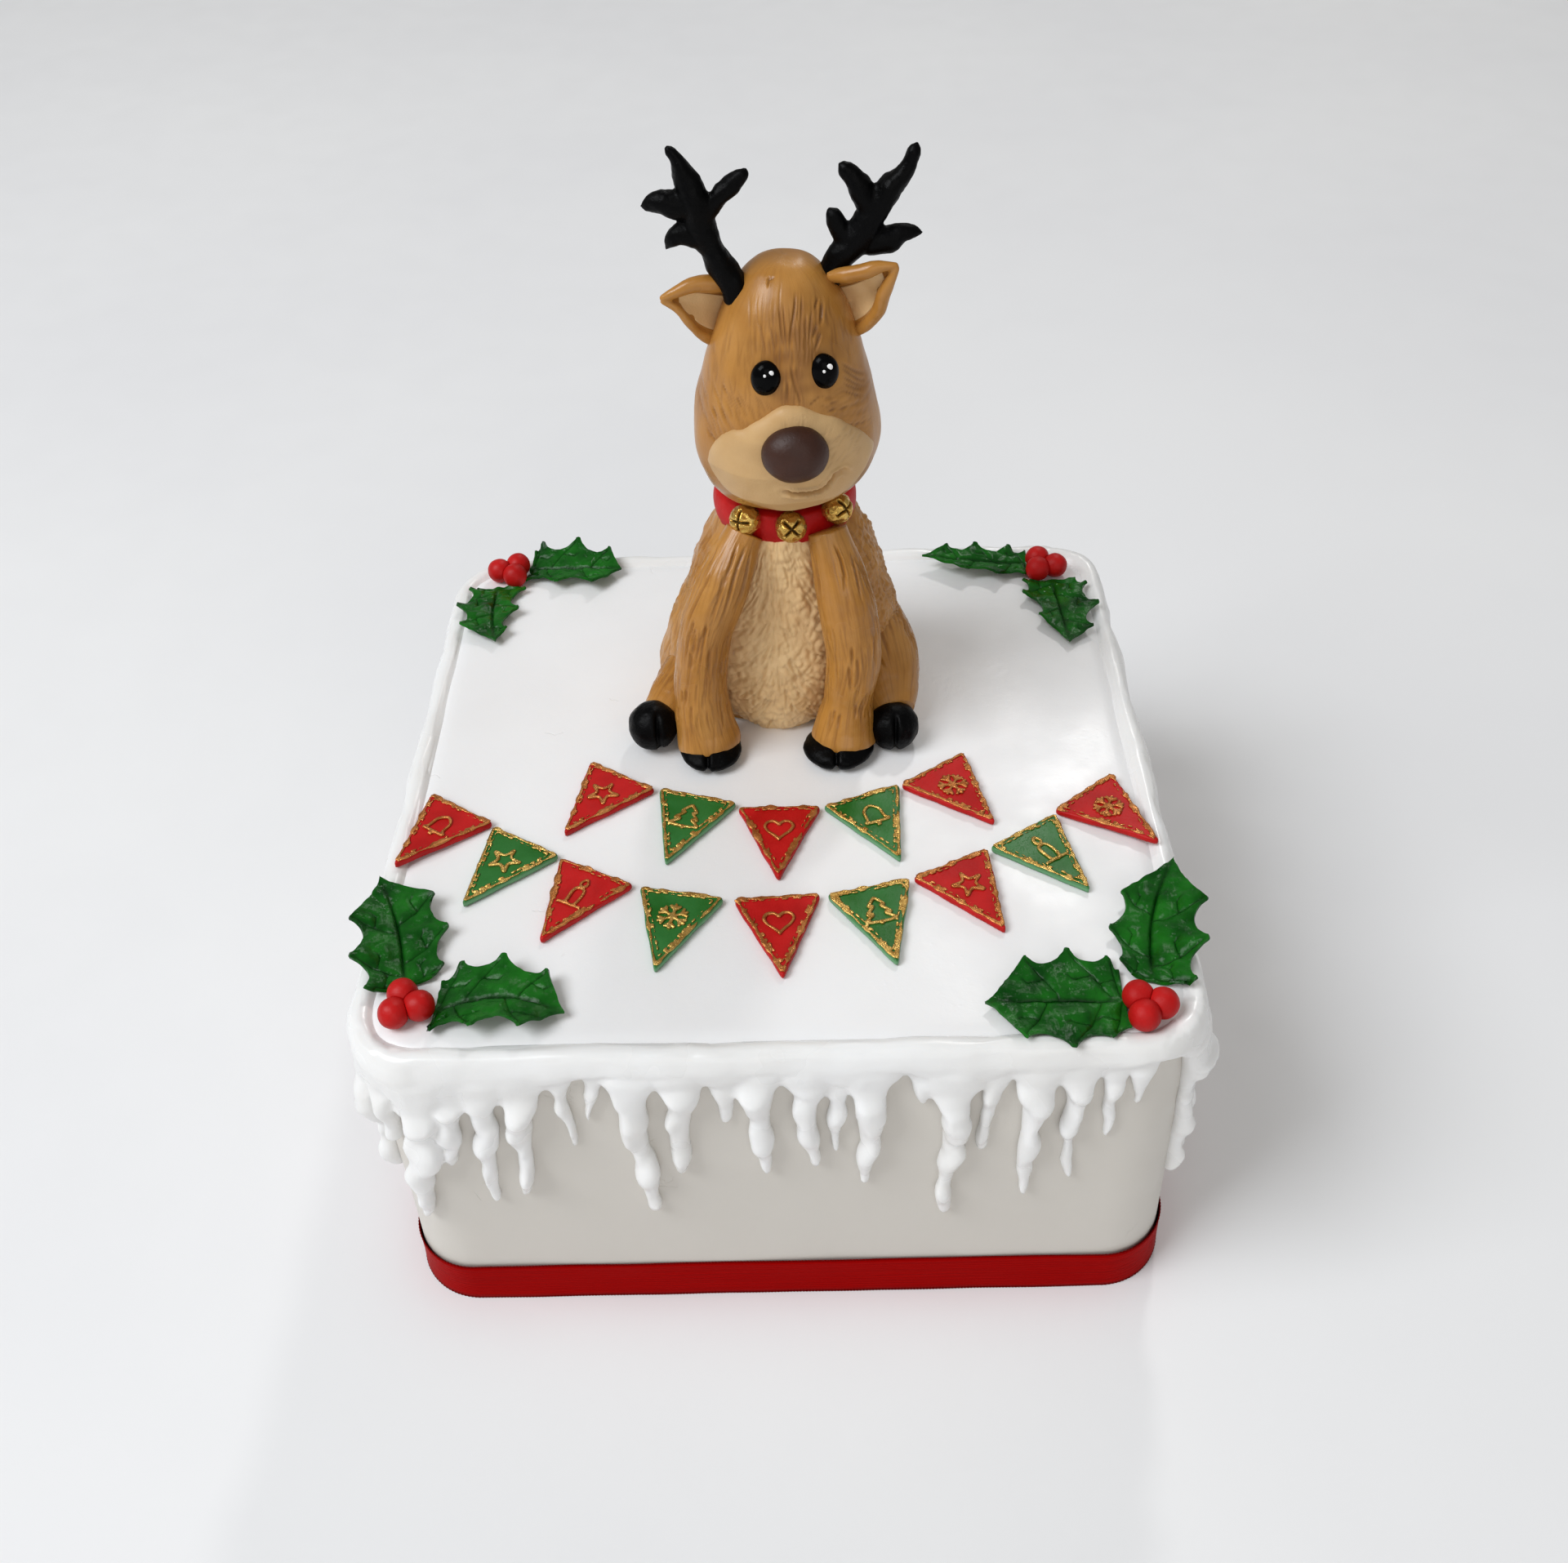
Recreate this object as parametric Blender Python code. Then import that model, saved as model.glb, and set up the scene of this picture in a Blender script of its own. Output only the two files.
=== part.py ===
# A square iced cake with a sugar-paste reindeer sitting on it, bunting, holly and a satin ribbon.
# Origin at the centre of the cake's base, +Z up, the front towards -Y.
# Shapes are built in millimetres and written in metres.

import math
import random

import bmesh
import bpy
from mathutils import Matrix, Vector

MM = 0.001
GAP = 0.3  # between pieces that touch

# The cake: a rounded square that narrows a little towards its top
CAKE_HEIGHT = 107.3
BASE_HALF = 106.2
TOP_HALF = 104.0
CORNER_RADIUS = 16.0
EDGE_RADIUS = 4.5
CORNER_STEPS = 5
EDGE_STEPS = 3
FLAT_HALF = TOP_HALF - CORNER_RADIUS  # half of a side's straight stretch
FOOT_EDGE = 0.8  # the small edge all round its base

# The ribbon round the base
RIBBON_LOW = 0.4
RIBBON_HIGH = 15.6
RIBBON_THICKNESS = 0.6

# The poured icing: a band over the top edge, with icicles
BAND_STEPS = 15  # along each straight side
# Its section from the inner edge over the bead to the wall, as (out, share of its drop, up from there)
BAND_SECTION = [
    (-2.2, 0, 0.15), (-0.4, 0, 1.0), (1.7, 0, 0.7), (3.9, 0, -3.8), (3.8, 1, 1.6), (1.9, 1, 0.0), (GAP, 1, 0.9),
]  # fmt: skip
BAND_CORNER = 35  # where its back is bent over the cake's edge, in degrees
ICICLE_BACK = 0.5  # clear of the wall
ICICLE_DEPTH = 0.72  # of its width, out from the wall
ICICLE_TOP = 4.5  # its root in the band, below the cake's top
ICICLE_NECK = 1.5  # where it leaves the band, below the band's edge
ICICLE_LOBE = 14  # length of one of its swellings
ICICLE_END = 3.5  # length of its pointed end
# Half widths and depths of its rings, as shares of its width
ICICLE_SHARES = {
    "top": (1.0, 0.62), "neck": (0.62, 0.95), "lobe": (0.52, 0.98), "end": (0.3, 0.6), "tip": (0.16, 0.3),
}  # fmt: skip
ICICLE_SIDES = 4
ICICLE_SEED = 12

# The front's band edge as (place along the side, drop below the top)
FRONT_EDGE = [
    (-96, 17), (-91, 13), (-83, 15), (-74, 11), (-64, 11), (-55, 9), (-41, 6), (-26, 7.5), (-14.5, 12), (-3, 6),
    (13, 12.5), (20, 11), (31, 6), (37, 12), (47, 13.5), (56, 8), (66, 9), (84, 8), (91, 5), (101, 9),
]  # fmt: skip

# The front's icicles as (place along the side, drop of the tip, width of the neck, lean of the tip)
FRONT_ICICLES = [
    (-99.5, 36, 6, 0), (-94.5, 23.5, 5, 0), (-89.5, 68, 7.5, -6.5), (-81, 43, 6, -5), (-73.5, 59, 7, -3),
    (-64, 57, 6.5, -4), (-54.2, 37, 3.6, 2.2), (-44.6, 25.5, 3.6, -4.6), (-36, 64, 8, 1), (-24.5, 48, 7, -0.5),
    (-13, 26.5, 4.5, 0), (-4.5, 48.5, 6.5, 0.8), (7, 46, 6.5, 1.2), (15.4, 40, 4, -1.6), (22.5, 54, 7, -1),
    (35.5, 21.5, 3.5, 0), (43, 68, 7, -1), (53.6, 41, 4.4, -2.6), (64, 60, 6.5, -1.5), (73.5, 54, 6, 0),
    (82.2, 37, 4, 0.3), (89.4, 24, 3.8, 0), (106.5, 67, 6.5, 0),
]  # fmt: skip

# The bunting: two hand-laid rows of flags, as (across, back, turn, tilt) at the middle of the upper edge.
# The end flags of the lower row are tilted, so that their tips ride over the icing's bead.
FLAG_BASE = 23.4
FLAG_DEPTH = 28.0
FLAG_THICKNESS = 2.2
FLAG_CORNER = 1.0
FLAG_BEVEL = 0.5
FLAG_TOP = 0.95  # size of its upper face beside the lower one
FLAGS = {
    "upper": [
        (-43.9, -5.9, -32.3, 0), (-21.9, -15.2, -16.9, 0), (0.9, -20.7, -0.6, 0),
        (23.8, -16.8, 20.7, 0), (44.5, -6.4, 34.4, 0),
    ],
    "lower": [
        (-88.4, -18.0, -33.3, 2.7), (-68.7, -31.6, -31.4, 0), (-48.2, -44.0, -27.3, 0),
        (-24.9, -52.6, -12.3, 0), (0.3, -55.0, 3.0, 0), (24.4, -52.2, 13.0, 0),
        (46.6, -44.3, 26.5, 0), (67.3, -32.5, 33.2, 0), (85.9, -17.8, 38.4, 2.7),
    ],
}  # fmt: skip

# Holly leaves as (name, tip, base, bend of the midrib to its right, width, arch, height of the tip,
# lift of the left edge, lift of the right edge)
LEAVES = [
    ("leaf_front_left_side", (-106, -46.5), (-93.6, -82.6), 1.5, 27, 1.0, 3.0, 3.6, 0.4),
    ("leaf_front_left", (-52, -93.2), (-84.9, -90.8), -3.5, 23, 2.5, 1.6, 0.4, 2.4),
    ("leaf_front_right_side", (105.5, -46.5), (93.4, -86.6), -3.0, 26.5, 1.0, 3.0, 0.4, 3.6),
    ("leaf_front_right", (51.2, -93), (85.6, -92.6), 0.2, 28.5, 0.8, 1.6, 0.3, 0.4),
    ("leaf_back_left", (-51.5, 95.0), (-83.0, 99.4), 0.0, 22.5, 1.5, 2.4, 2.6, 0.8),
    ("leaf_back_left_side", (-89, 58), (-92.5, 89.6), 1.2, 22, 1.0, 1.6, 0.4, 0.4),
    ("leaf_back_right", (48.5, 95.5), (83.5, 94.8), -2.0, 17, 2.0, 4.0, 0.8, 0.4),
    ("leaf_back_right_side", (91.3, 49.5), (90.4, 84.6), 0.0, 25, 1.0, 1.6, 0.4, 1.0),
]
LEAF_THICKNESS = 0.9
LEAF_REST = 0.55  # the lowest height of a leaf's underside
LEAF_RAKE = 0.06  # how far its spines point towards the tip
# A leaf's half outline as (share of the length, share of the half width, wave of the edge)
LEAF_OUTLINE = [
    (0.02, 0.34, 0.0), (0.06, 0.86, 1.2), (0.21, 0.70, 0.2), (0.38, 1.00, 1.6), (0.53, 0.72, 0.2),
    (0.67, 0.88, 1.4), (0.78, 0.46, 0.2), (0.88, 0.46, 0.6),
]  # fmt: skip

# Berries, three at each corner
BERRY_RADIUS = 3.15
BERRIES = {
    "front_left": [(-92.9, -86.6), (-87.6, -91.0), (-94.2, -93.4)],
    "front_right": [(88.0, -92.9), (94.3, -95.6), (88.7, -99.6)],
    "back_left": [(-86.2, 98.6), (-92.6, 95.2), (-86.6, 91.8)],
    "back_right": [(86.3, 93.9), (85.6, 87.1), (92.1, 89.0)],
}

# The reindeer. Its points are (across, back, up from the cake's top). Its rings add (half width, half depth).
TORSO = [
    (1.8, 40, -1, 35, 23.4), (2.2, 40, 6, 37.6, 24.6), (2.8, 40, 14, 36.6, 24.2), (3.4, 39.6, 24, 34.0, 23),
    (3.9, 39.1, 34, 30.6, 21.4), (4.4, 38.5, 44, 27.4, 20), (4.8, 37.7, 54, 23.6, 18.6),
    (4.9, 37.3, 62, 19.2, 17.4), (4.8, 37, 68, 16.4, 15.8), (4.8, 37, 71, 14.4, 14),
]  # fmt: skip
BELLY = [
    (1.4, 33, -1, 14, 18.2), (1.6, 33, 5, 21.4, 20.6), (1.4, 33, 12, 24.4, 21.2), (1.6, 33, 22, 25.4, 20.2),
    (2.2, 33, 33, 24.2, 18.6), (2.8, 33, 44, 21.4, 17.2), (3.5, 33, 54, 17.6, 16), (4.0, 33, 63, 13, 15.2),
]  # fmt: skip
COLLAR = [
    (4.8, 37, 62.6, 18.2, 17.8), (4.8, 37, 63.6, 19.3, 18.9), (4.8, 37, 67.4, 19.6, 19.2),
    (4.8, 37, 70.6, 19.0, 18.6), (4.8, 37, 71.6, 17.6, 17.2),
]  # fmt: skip
HEAD = [
    (5.4, 29, 72.2, 9.5, 6.5), (5.4, 28.6, 74, 14.2, 10.8), (5.6, 28, 78, 19.2, 15.8),
    (5.8, 27.4, 83.6, 22.6, 19.6), (6.2, 27, 92, 24.5, 21.4), (6.1, 26.8, 102, 23.4, 21.2),
    (6.1, 26.8, 110, 21.5, 20.2), (6.4, 27, 118, 19.2, 18.6), (6.6, 27.2, 126, 16.2, 16.2),
    (6.6, 27.5, 132.4, 13, 13.4), (6.5, 27.8, 136.8, 9.4, 10), (6.4, 28, 139.4, 5, 5.4),
]  # fmt: skip
FORELEGS = {
    "left": [
        (-6.2, 20, 66, 5.8, 5.4), (-12.6, 13.5, 54, 7.3, 7.0), (-18.2, 10.5, 39.5, 7.4, 7.4),
        (-20.8, 9, 21, 7.6, 7.6), (-20.2, 7.6, 9, 8.6, 8.6), (-19.4, 6.4, 2.6, 9.2, 9.4),
    ],
    "right": [
        (16.2, 20, 66, 6, 5.4), (20.6, 13.5, 48, 7.8, 7.2), (22.8, 10.5, 31, 7.8, 7.6),
        (21.2, 9, 16, 7.1, 7.4), (20.2, 7.6, 8, 8.6, 8.6), (19.7, 6.4, 2.6, 9.4, 9.4),
    ],
}  # fmt: skip
HIND_LEGS = {
    "left": [
        (-20, 36, 9, 13, 10), (-25.5, 28, 8.8, 10, 9),
        (-30.6, 20, 7.4, 7.6, 7.6), (-33.8, 14.6, 6.8, 6.4, 6.4),
    ],
    "right": [
        (24.5, 40, 17, 14.5, 14), (29.4, 31, 14.5, 13.2, 13),
        (32.4, 21, 10.2, 10.4, 10.2), (34, 13.6, 7.2, 7.4, 7.4),
    ],
}  # fmt: skip
# Hooves as centre, then half sizes
FORE_HOOVES = {"left": ((-18.8, 3.4, 2.9), (8.9, 9.4, 3.8)), "right": ((18.1, 3.0, 2.9), (10.1, 9.6, 3.8))}
HIND_HOOVES = {"left": ((-35.7, 9.6, 7.1), (7.1, 7.4, 7.1)), "right": ((34.3, 8.0, 5.9), (7.3, 7.4, 7.0))}
MUZZLE_CENTRE = (6.5, 91.0)
MUZZLE_HALF_WIDTH = 21.2
MUZZLE_UP = 12.6
MUZZLE_DOWN = 13.0
MUZZLE_PEAK = 7.2
MUZZLE_PEAK_WIDTH = 9.5
MUZZLE_THICKNESS = 2.4
MUZZLE_POINTS = 22  # round its outline
MUZZLE_ROUNDNESS = 0.85  # below 1 its outline is squarer than an ellipse
MUZZLE_REACH = (-20, 25)  # from and to where its outline cuts the grown head
NOSE = (8.3, 99.4)
NOSE_SIZE = (8.5, 6.2, 7.4)
EYES = {"left": (2.0, 116.8), "right": (15.8, 117.4)}
EYE_SIZE = (4.0, 2.9, 4.8)
EYE_SUNK = 0.7  # its middle behind the face's front
BELL_RADIUS = 4.2
BELL_PROUD = 1.4  # its middle in front of the collar
BELLS = {"left": (-31, 70.0), "middle": (4.5, 69.3), "right": (43, 71.2)}  # turn round the collar, height
# Ears as (base top, base bottom, tip), with sections as (share of the length, spread, cup)
EARS = {
    "left": ((-7.0, 27, 135), (-11.0, 27, 118.2), (-24.0, 23, 133.2)),
    "right": ((19.6, 27, 136.5), (24.4, 27, 120.3), (34.8, 23, 138.8)),
}
EAR_CUP = 4.2
EAR_THICKNESS = 1.7
EAR_THINNING = 0.45  # share of its thickness that is gone at the tip
EAR_STEPS = 4  # round its outer curve
EAR_SECTIONS = [(0, 1.0, 0.8), (0.25, 1.06, 1.0), (0.5, 0.86, 0.95), (0.75, 0.5, 0.7), (0.95, 0.16, 0.2)]
# Each antler is a main beam and its tines, as points (across, up) with a radius, at one depth
ANTLER_BACKS = {"left": 24.5, "right": 29.0}
ANTLERS = {
    "left": [
        [
            (-4.6, 131, 4.2), (-7.0, 136, 4.0), (-10.2, 143.5, 4.1),
            (-12.2, 151.5, 4.9), (-14.9, 159.5, 3.8), (-18.7, 167.2, 2.1),
        ],
        [(-12.4, 152.7, 3.6), (-18.7, 155.5, 3.9), (-24.9, 154.5, 2.6)],
        [(-10.2, 146, 3.2), (-16.5, 147.4, 3.4), (-19.8, 143.8, 2.5)],
        [(-10.4, 148, 3.4), (-7.8, 154.5, 3.5), (-3.0, 161.4, 2.5)],
    ],
    "right": [
        [
            (17.0, 132, 3.8), (20.9, 137.6, 4.2), (25.4, 143.4, 4.4), (28.6, 149.6, 4.4),
            (32.2, 154.8, 3.5), (35.6, 158.8, 2.8), (38.6, 164.6, 2.2),
        ],
        [(28.4, 147, 3.4), (26.4, 153.4, 3.6), (22.7, 158.6, 2.9)],
        [(23.4, 140.6, 3.4), (20.4, 144.4, 3.1), (19.0, 148.2, 2.4)],
        [(25.4, 140.4, 3.4), (31.6, 143.0, 3.9), (38.8, 143.8, 2.4)],
    ],
}  # fmt: skip

TINE_STEP = 0.15  # each tine lies this much further back than the one before

# How many sides the rings of each kind have, and for balls how many rings from pole to pole
RING_SIDES = 16
COLLAR_SIDES = 20
HEAD_SIDES = 18
LIMB_SIDES = 10
ANTLER_SIDES = 6
BALL = {"sides": 10, "rings": 7}
BELL = {"sides": 10, "rings": 6}
NOSE_BALL = {"sides": 12, "rings": 8}
SHARP_ANGLE = 40  # edges bent by more degrees than this stay sharp

COLOURS = {
    "icing": ((0.86, 0.85, 0.82), 0.45, 0.0),
    "ribbon": ((0.42, 0.008, 0.01), 0.3, 0.0),
    "fur": ((0.36, 0.17, 0.045), 0.55, 0.0),
    "cream": ((0.55, 0.36, 0.17), 0.6, 0.0),
    "black": ((0.006, 0.006, 0.007), 0.45, 0.0),
    "nose": ((0.05, 0.02, 0.012), 0.35, 0.0),
    "red": ((0.42, 0.02, 0.02), 0.5, 0.0),
    "green": ((0.015, 0.12, 0.02), 0.35, 0.0),
    "gold": ((0.55, 0.36, 0.1), 0.35, 0.9),
}


# Scene and mesh helpers


def clear_scene():
    for obj in list(bpy.data.objects):
        bpy.data.objects.remove(obj)


def make_material(name, colour, roughness, metallic):
    material = bpy.data.materials.new(name)
    material.use_nodes = True
    shader = material.node_tree.nodes["Principled BSDF"]
    shader.inputs["Base Color"].default_value = (*colour, 1)
    shader.inputs["Roughness"].default_value = roughness
    shader.inputs["Metallic"].default_value = metallic
    material.diffuse_color = (*colour, 1)
    return material


def paint(piece, finish):
    colour, roughness, metallic = COLOURS[finish]
    piece.data.materials.clear()
    piece.data.materials.append(make_material(piece.name, colour, roughness, metallic))


# Writes a bmesh drawn in millimetres as an object in metres
def finish_piece(name, bm):
    bmesh.ops.recalc_face_normals(bm, faces=bm.faces)
    bmesh.ops.scale(bm, vec=(MM, MM, MM), verts=bm.verts)
    mesh = bpy.data.meshes.new(name)
    bm.to_mesh(mesh)
    bm.free()
    mesh.shade_smooth()
    mesh.set_sharp_from_angle(angle=math.radians(SHARP_ANGLE))
    piece = bpy.data.objects.new(name, mesh)
    bpy.context.scene.collection.objects.link(piece)
    return piece


def add_modifier(piece, operation, solver):
    modifier = piece.modifiers.new("boolean", "BOOLEAN")
    modifier.operation = operation
    modifier.solver = solver
    return modifier


def apply_modifiers(piece):
    bpy.context.view_layer.update()
    graph = bpy.context.evaluated_depsgraph_get()
    mesh = bpy.data.meshes.new_from_object(piece.evaluated_get(graph))
    piece.modifiers.clear()
    piece.data = mesh
    mesh.name = piece.name


# Boolean of a piece with each tool in turn, after which the tools are removed
def carve(piece, *tools, operation="DIFFERENCE", solver="EXACT"):
    for tool in tools:
        add_modifier(piece, operation, solver).object = tool
        apply_modifiers(piece)
        bpy.data.objects.remove(tool)
    return piece


# One union of a piece with many others that lie in a collection of their own. Its solver takes shapes that
# cross each other many times over.
def join_all(piece, others):
    group = bpy.data.collections.new("joined_shapes")
    bpy.context.scene.collection.children.link(group)
    for other in others:
        bpy.context.scene.collection.objects.unlink(other)
        group.objects.link(other)
    modifier = add_modifier(piece, "UNION", "MANIFOLD")
    modifier.operand_type = "COLLECTION"
    modifier.collection = group
    apply_modifiers(piece)
    for other in list(group.objects):
        bpy.data.objects.remove(other)
    bpy.data.collections.remove(group)
    return piece


# Faces between two rings of as many vertices
def bridge(bm, lower, upper):
    count = len(lower)
    for i in range(count):
        following = (i + 1) % count
        bm.faces.new((lower[i], lower[following], upper[following], upper[i]))


def close_fan(bm, ring, pole):
    for i in range(len(ring)):
        bm.faces.new((ring[i], ring[(i + 1) % len(ring)], pole))


# A body of level rings, each (across, back, up, half width, half depth), with a flat foot and a domed top
def turned_body(name, rings, grow=0.0, sides=RING_SIDES, dome=0.8):
    bm = bmesh.new()
    loops = []
    last = len(rings) - 1
    for index, (x, y, z, wide, deep) in enumerate(rings):
        level = z - grow if index == 0 else z + grow if index == last else z
        corners = []
        for side in range(sides):
            angle = math.tau * side / sides
            across = (wide + grow) * math.cos(angle)
            back = (deep + grow) * math.sin(angle)
            corners.append(bm.verts.new((x + across, y + back, level)))
        loops.append(corners)
    for lower, upper in zip(loops, loops[1:]):
        bridge(bm, lower, upper)
    bm.faces.new(loops[0])
    x, y, z = rings[-1][:3]
    close_fan(bm, loops[-1], bm.verts.new((x, y, z + grow + dome)))
    return finish_piece(name, bm)


# A limb along points (across, back, up, half width, half depth), with rings square to its way. The direction
# given as across is where its rings start, and its way must not run along it.
def limb(name, points, grow=0.0, sides=LIMB_SIDES, start_cap=1.0, end_cap=1.0, across=(1, 0, 0)):
    bm = bmesh.new()
    centres = [Vector(point[:3]) for point in points]
    loops = []
    ways = []
    for index, point in enumerate(points):
        before = centres[max(index - 1, 0)]
        after = centres[min(index + 1, len(centres) - 1)]
        way = (after - before).normalized()
        wide_way = (Vector(across) - way * way.dot(Vector(across))).normalized()
        deep_way = way.cross(wide_way)
        wide, deep = point[3] + grow, point[4] + grow
        corners = []
        for side in range(sides):
            angle = math.tau * side / sides
            offset = wide_way * wide * math.cos(angle) + deep_way * deep * math.sin(angle)
            corners.append(bm.verts.new(centres[index] + offset))
        loops.append(corners)
        ways.append(way)
    for lower, upper in zip(loops, loops[1:]):
        bridge(bm, lower, upper)
    close_fan(bm, loops[0], bm.verts.new(centres[0] - ways[0] * (start_cap + grow)))
    close_fan(bm, loops[-1], bm.verts.new(centres[-1] + ways[-1] * (end_cap + grow)))
    return finish_piece(name, bm)


def ball(name, centre, sizes, grow=0.0, sides=BALL["sides"], rings=BALL["rings"]):
    bm = bmesh.new()
    bmesh.ops.create_uvsphere(bm, u_segments=sides, v_segments=rings, radius=1)
    bmesh.ops.scale(bm, vec=[size + grow for size in sizes], verts=bm.verts)
    bmesh.ops.translate(bm, vec=centre, verts=bm.verts)
    return finish_piece(name, bm)


# Cuts off what lies below a height above the cake's top
def rest_flat(piece, height=GAP):
    bm = bmesh.new()
    bm.from_mesh(piece.data)
    everything = bm.verts[:] + bm.edges[:] + bm.faces[:]
    plane = {"plane_co": (0, 0, height * MM), "plane_no": (0, 0, 1)}
    cut = bmesh.ops.bisect_plane(bm, geom=everything, clear_inner=True, **plane)
    edges = [element for element in cut["geom_cut"] if isinstance(element, bmesh.types.BMEdge)]
    if edges:
        bmesh.ops.contextual_create(bm, geom=edges)
        bmesh.ops.recalc_face_normals(bm, faces=bm.faces)
    bm.to_mesh(piece.data)
    bm.free()
    return piece


# The cake, its ribbon and its icing


def wall_half(height):
    return BASE_HALF + (TOP_HALF - BASE_HALF) * height / CAKE_HEIGHT


# A point on one of the four sides: along it, out from the wall and up. Past the straight stretch it turns the
# corner.
def wall_point(side, along, out, height):
    reach = wall_half(height) - FLAT_HALF + out
    turn = max(abs(along) - FLAT_HALF, 0) / CORNER_RADIUS
    across = along if turn == 0 else math.copysign(FLAT_HALF + reach * math.sin(turn), along)
    point = Vector((across, -FLAT_HALF - reach * math.cos(turn), height))
    return Matrix.Rotation(side * math.pi / 2, 3, "Z") @ point


# Places round the cake, as (side, along)
def perimeter(straight_steps):
    quarter = CORNER_RADIUS * math.pi / 2
    for side in range(4):
        for step in range(straight_steps):
            yield side, -FLAT_HALF + 2 * FLAT_HALF * step / straight_steps
        for step in range(CORNER_STEPS):
            yield side, FLAT_HALF + quarter * step / CORNER_STEPS


def make_cake():
    bm = bmesh.new()
    levels = [(-FOOT_EDGE, 0), (0, FOOT_EDGE), (0, CAKE_HEIGHT / 2)]
    for step in range(EDGE_STEPS + 1):
        angle = math.pi / 2 * step / EDGE_STEPS
        height = CAKE_HEIGHT - EDGE_RADIUS * (1 - math.sin(angle))
        levels.append((EDGE_RADIUS * (math.cos(angle) - 1), height))
    loops = []
    for out, height in levels:
        loops.append([bm.verts.new(wall_point(side, along, out, height)) for side, along in perimeter(1)])
    for lower, upper in zip(loops, loops[1:]):
        bridge(bm, lower, upper)
    bm.faces.new(loops[0])
    bm.faces.new(loops[-1])
    return finish_piece("cake_body", bm)


# A ring round the cake whose section, a list of (out, height), may change from place to place
def wrapped_ring(name, section, straight_steps):
    bm = bmesh.new()
    loops = []
    for side, along in perimeter(straight_steps):
        points = [wall_point(side, along, out, height) for out, height in section(side, along)]
        loops.append([bm.verts.new(point) for point in points])
    for index, loop in enumerate(loops):
        bridge(bm, loop, loops[(index + 1) % len(loops)])
    return finish_piece(name, bm)


def make_ribbon():
    outer = GAP + RIBBON_THICKNESS
    section = [(GAP, RIBBON_LOW), (outer, RIBBON_LOW), (outer, RIBBON_HIGH), (GAP, RIBBON_HIGH)]
    return wrapped_ring("ribbon", lambda side, along: section, 1)


def between(points, place):
    for (low, start), (high, end) in zip(points, points[1:]):
        if low <= place <= high:
            return start + (end - start) * (place - low) / (high - low)
    return points[0][1] if place < points[0][0] else points[-1][1]


# The unseen sides repeat the front's habits: a seeded edge and seeded icicles
def side_edges():
    draw = random.Random(ICICLE_SEED)
    edges = [FRONT_EDGE]
    for _ in range(3):
        edges.append([(place, draw.uniform(6, 14)) for place in range(-100, 109, 9)])
    return edges


def side_icicles():
    draw = random.Random(ICICLE_SEED + 1)
    rows = [FRONT_ICICLES]
    for _ in range(3):
        row = []
        place = -92 + draw.uniform(0, 3)
        while place < 103:
            drop = draw.choice((24, 34, 44, 52, 58, 63)) + draw.uniform(-4, 4)
            row.append((place, drop, 3.6 + drop * 0.06 + draw.uniform(-0.4, 0.6), draw.uniform(-2.5, 2.5)))
            place += draw.uniform(7.5, 12.5)
        rows.append(row)
    return rows


def band_section(side, along, edges):
    drop = between(edges[side], along)
    top = CAKE_HEIGHT
    shoulder = EDGE_RADIUS + GAP
    corner = math.radians(BAND_CORNER)
    section = [(out, top - share * drop + up) for out, share, up in BAND_SECTION]
    section.append((GAP, top - EDGE_RADIUS))
    section.append((shoulder * math.cos(corner) - EDGE_RADIUS, top - EDGE_RADIUS + shoulder * math.sin(corner)))
    return section


def make_icicle(side, place, drop, width, lean, edge, draw):
    lobes = max(2, round((drop - edge) / ICICLE_LOBE))
    neck = edge + ICICLE_NECK
    rings = [(ICICLE_TOP, *ICICLE_SHARES["top"]), (neck, *ICICLE_SHARES["neck"])]
    for lobe in range(1, lobes):
        share = lobe / lobes
        swell = draw.uniform(0.92, 1.15) * (1.0 - 0.35 * share)
        half, depth = ICICLE_SHARES["lobe"]
        rings.append((neck + (drop - edge) * share, half * swell, depth * swell))
    rings += [(drop - ICICLE_END, *ICICLE_SHARES["end"]), (drop, *ICICLE_SHARES["tip"])]
    bm = bmesh.new()
    loops = []
    for down, half, depth in rings:
        share = max(0.0, (down - edge) / (drop - edge))
        middle = place + lean * share
        height = CAKE_HEIGHT - down
        reach = half * width
        back = ICICLE_BACK
        if abs(middle) + reach > FLAT_HALF:
            back += reach**2 / (2 * CORNER_RADIUS)  # its flat back clears the round corner
        corners = []
        for step in range(ICICLE_SIDES):
            angle = math.pi * step / (ICICLE_SIDES - 1)
            along = middle + reach * math.cos(angle)
            out = back + depth * width * ICICLE_DEPTH * math.sin(angle)
            corners.append(bm.verts.new(wall_point(side, along, out, height)))
        loops.append(corners)
    for upper, lower in zip(loops, loops[1:]):
        bridge(bm, upper, lower)
    bm.faces.new(loops[0])
    bm.faces.new(loops[-1])
    return finish_piece("icicle", bm)


def make_icing():
    edges = side_edges()
    band = wrapped_ring("icicle_icing", lambda side, along: band_section(side, along, edges), BAND_STEPS)
    draw = random.Random(ICICLE_SEED + 2)
    icicles = []
    for side, row in enumerate(side_icicles()):
        for place, drop, width, lean in row:
            icicles.append(make_icicle(side, place, drop, width, lean, between(edges[side], place), draw))
    return join_all(band, icicles)


# Bunting, holly and berries lie on the cake's top, where height 0 is


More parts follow.
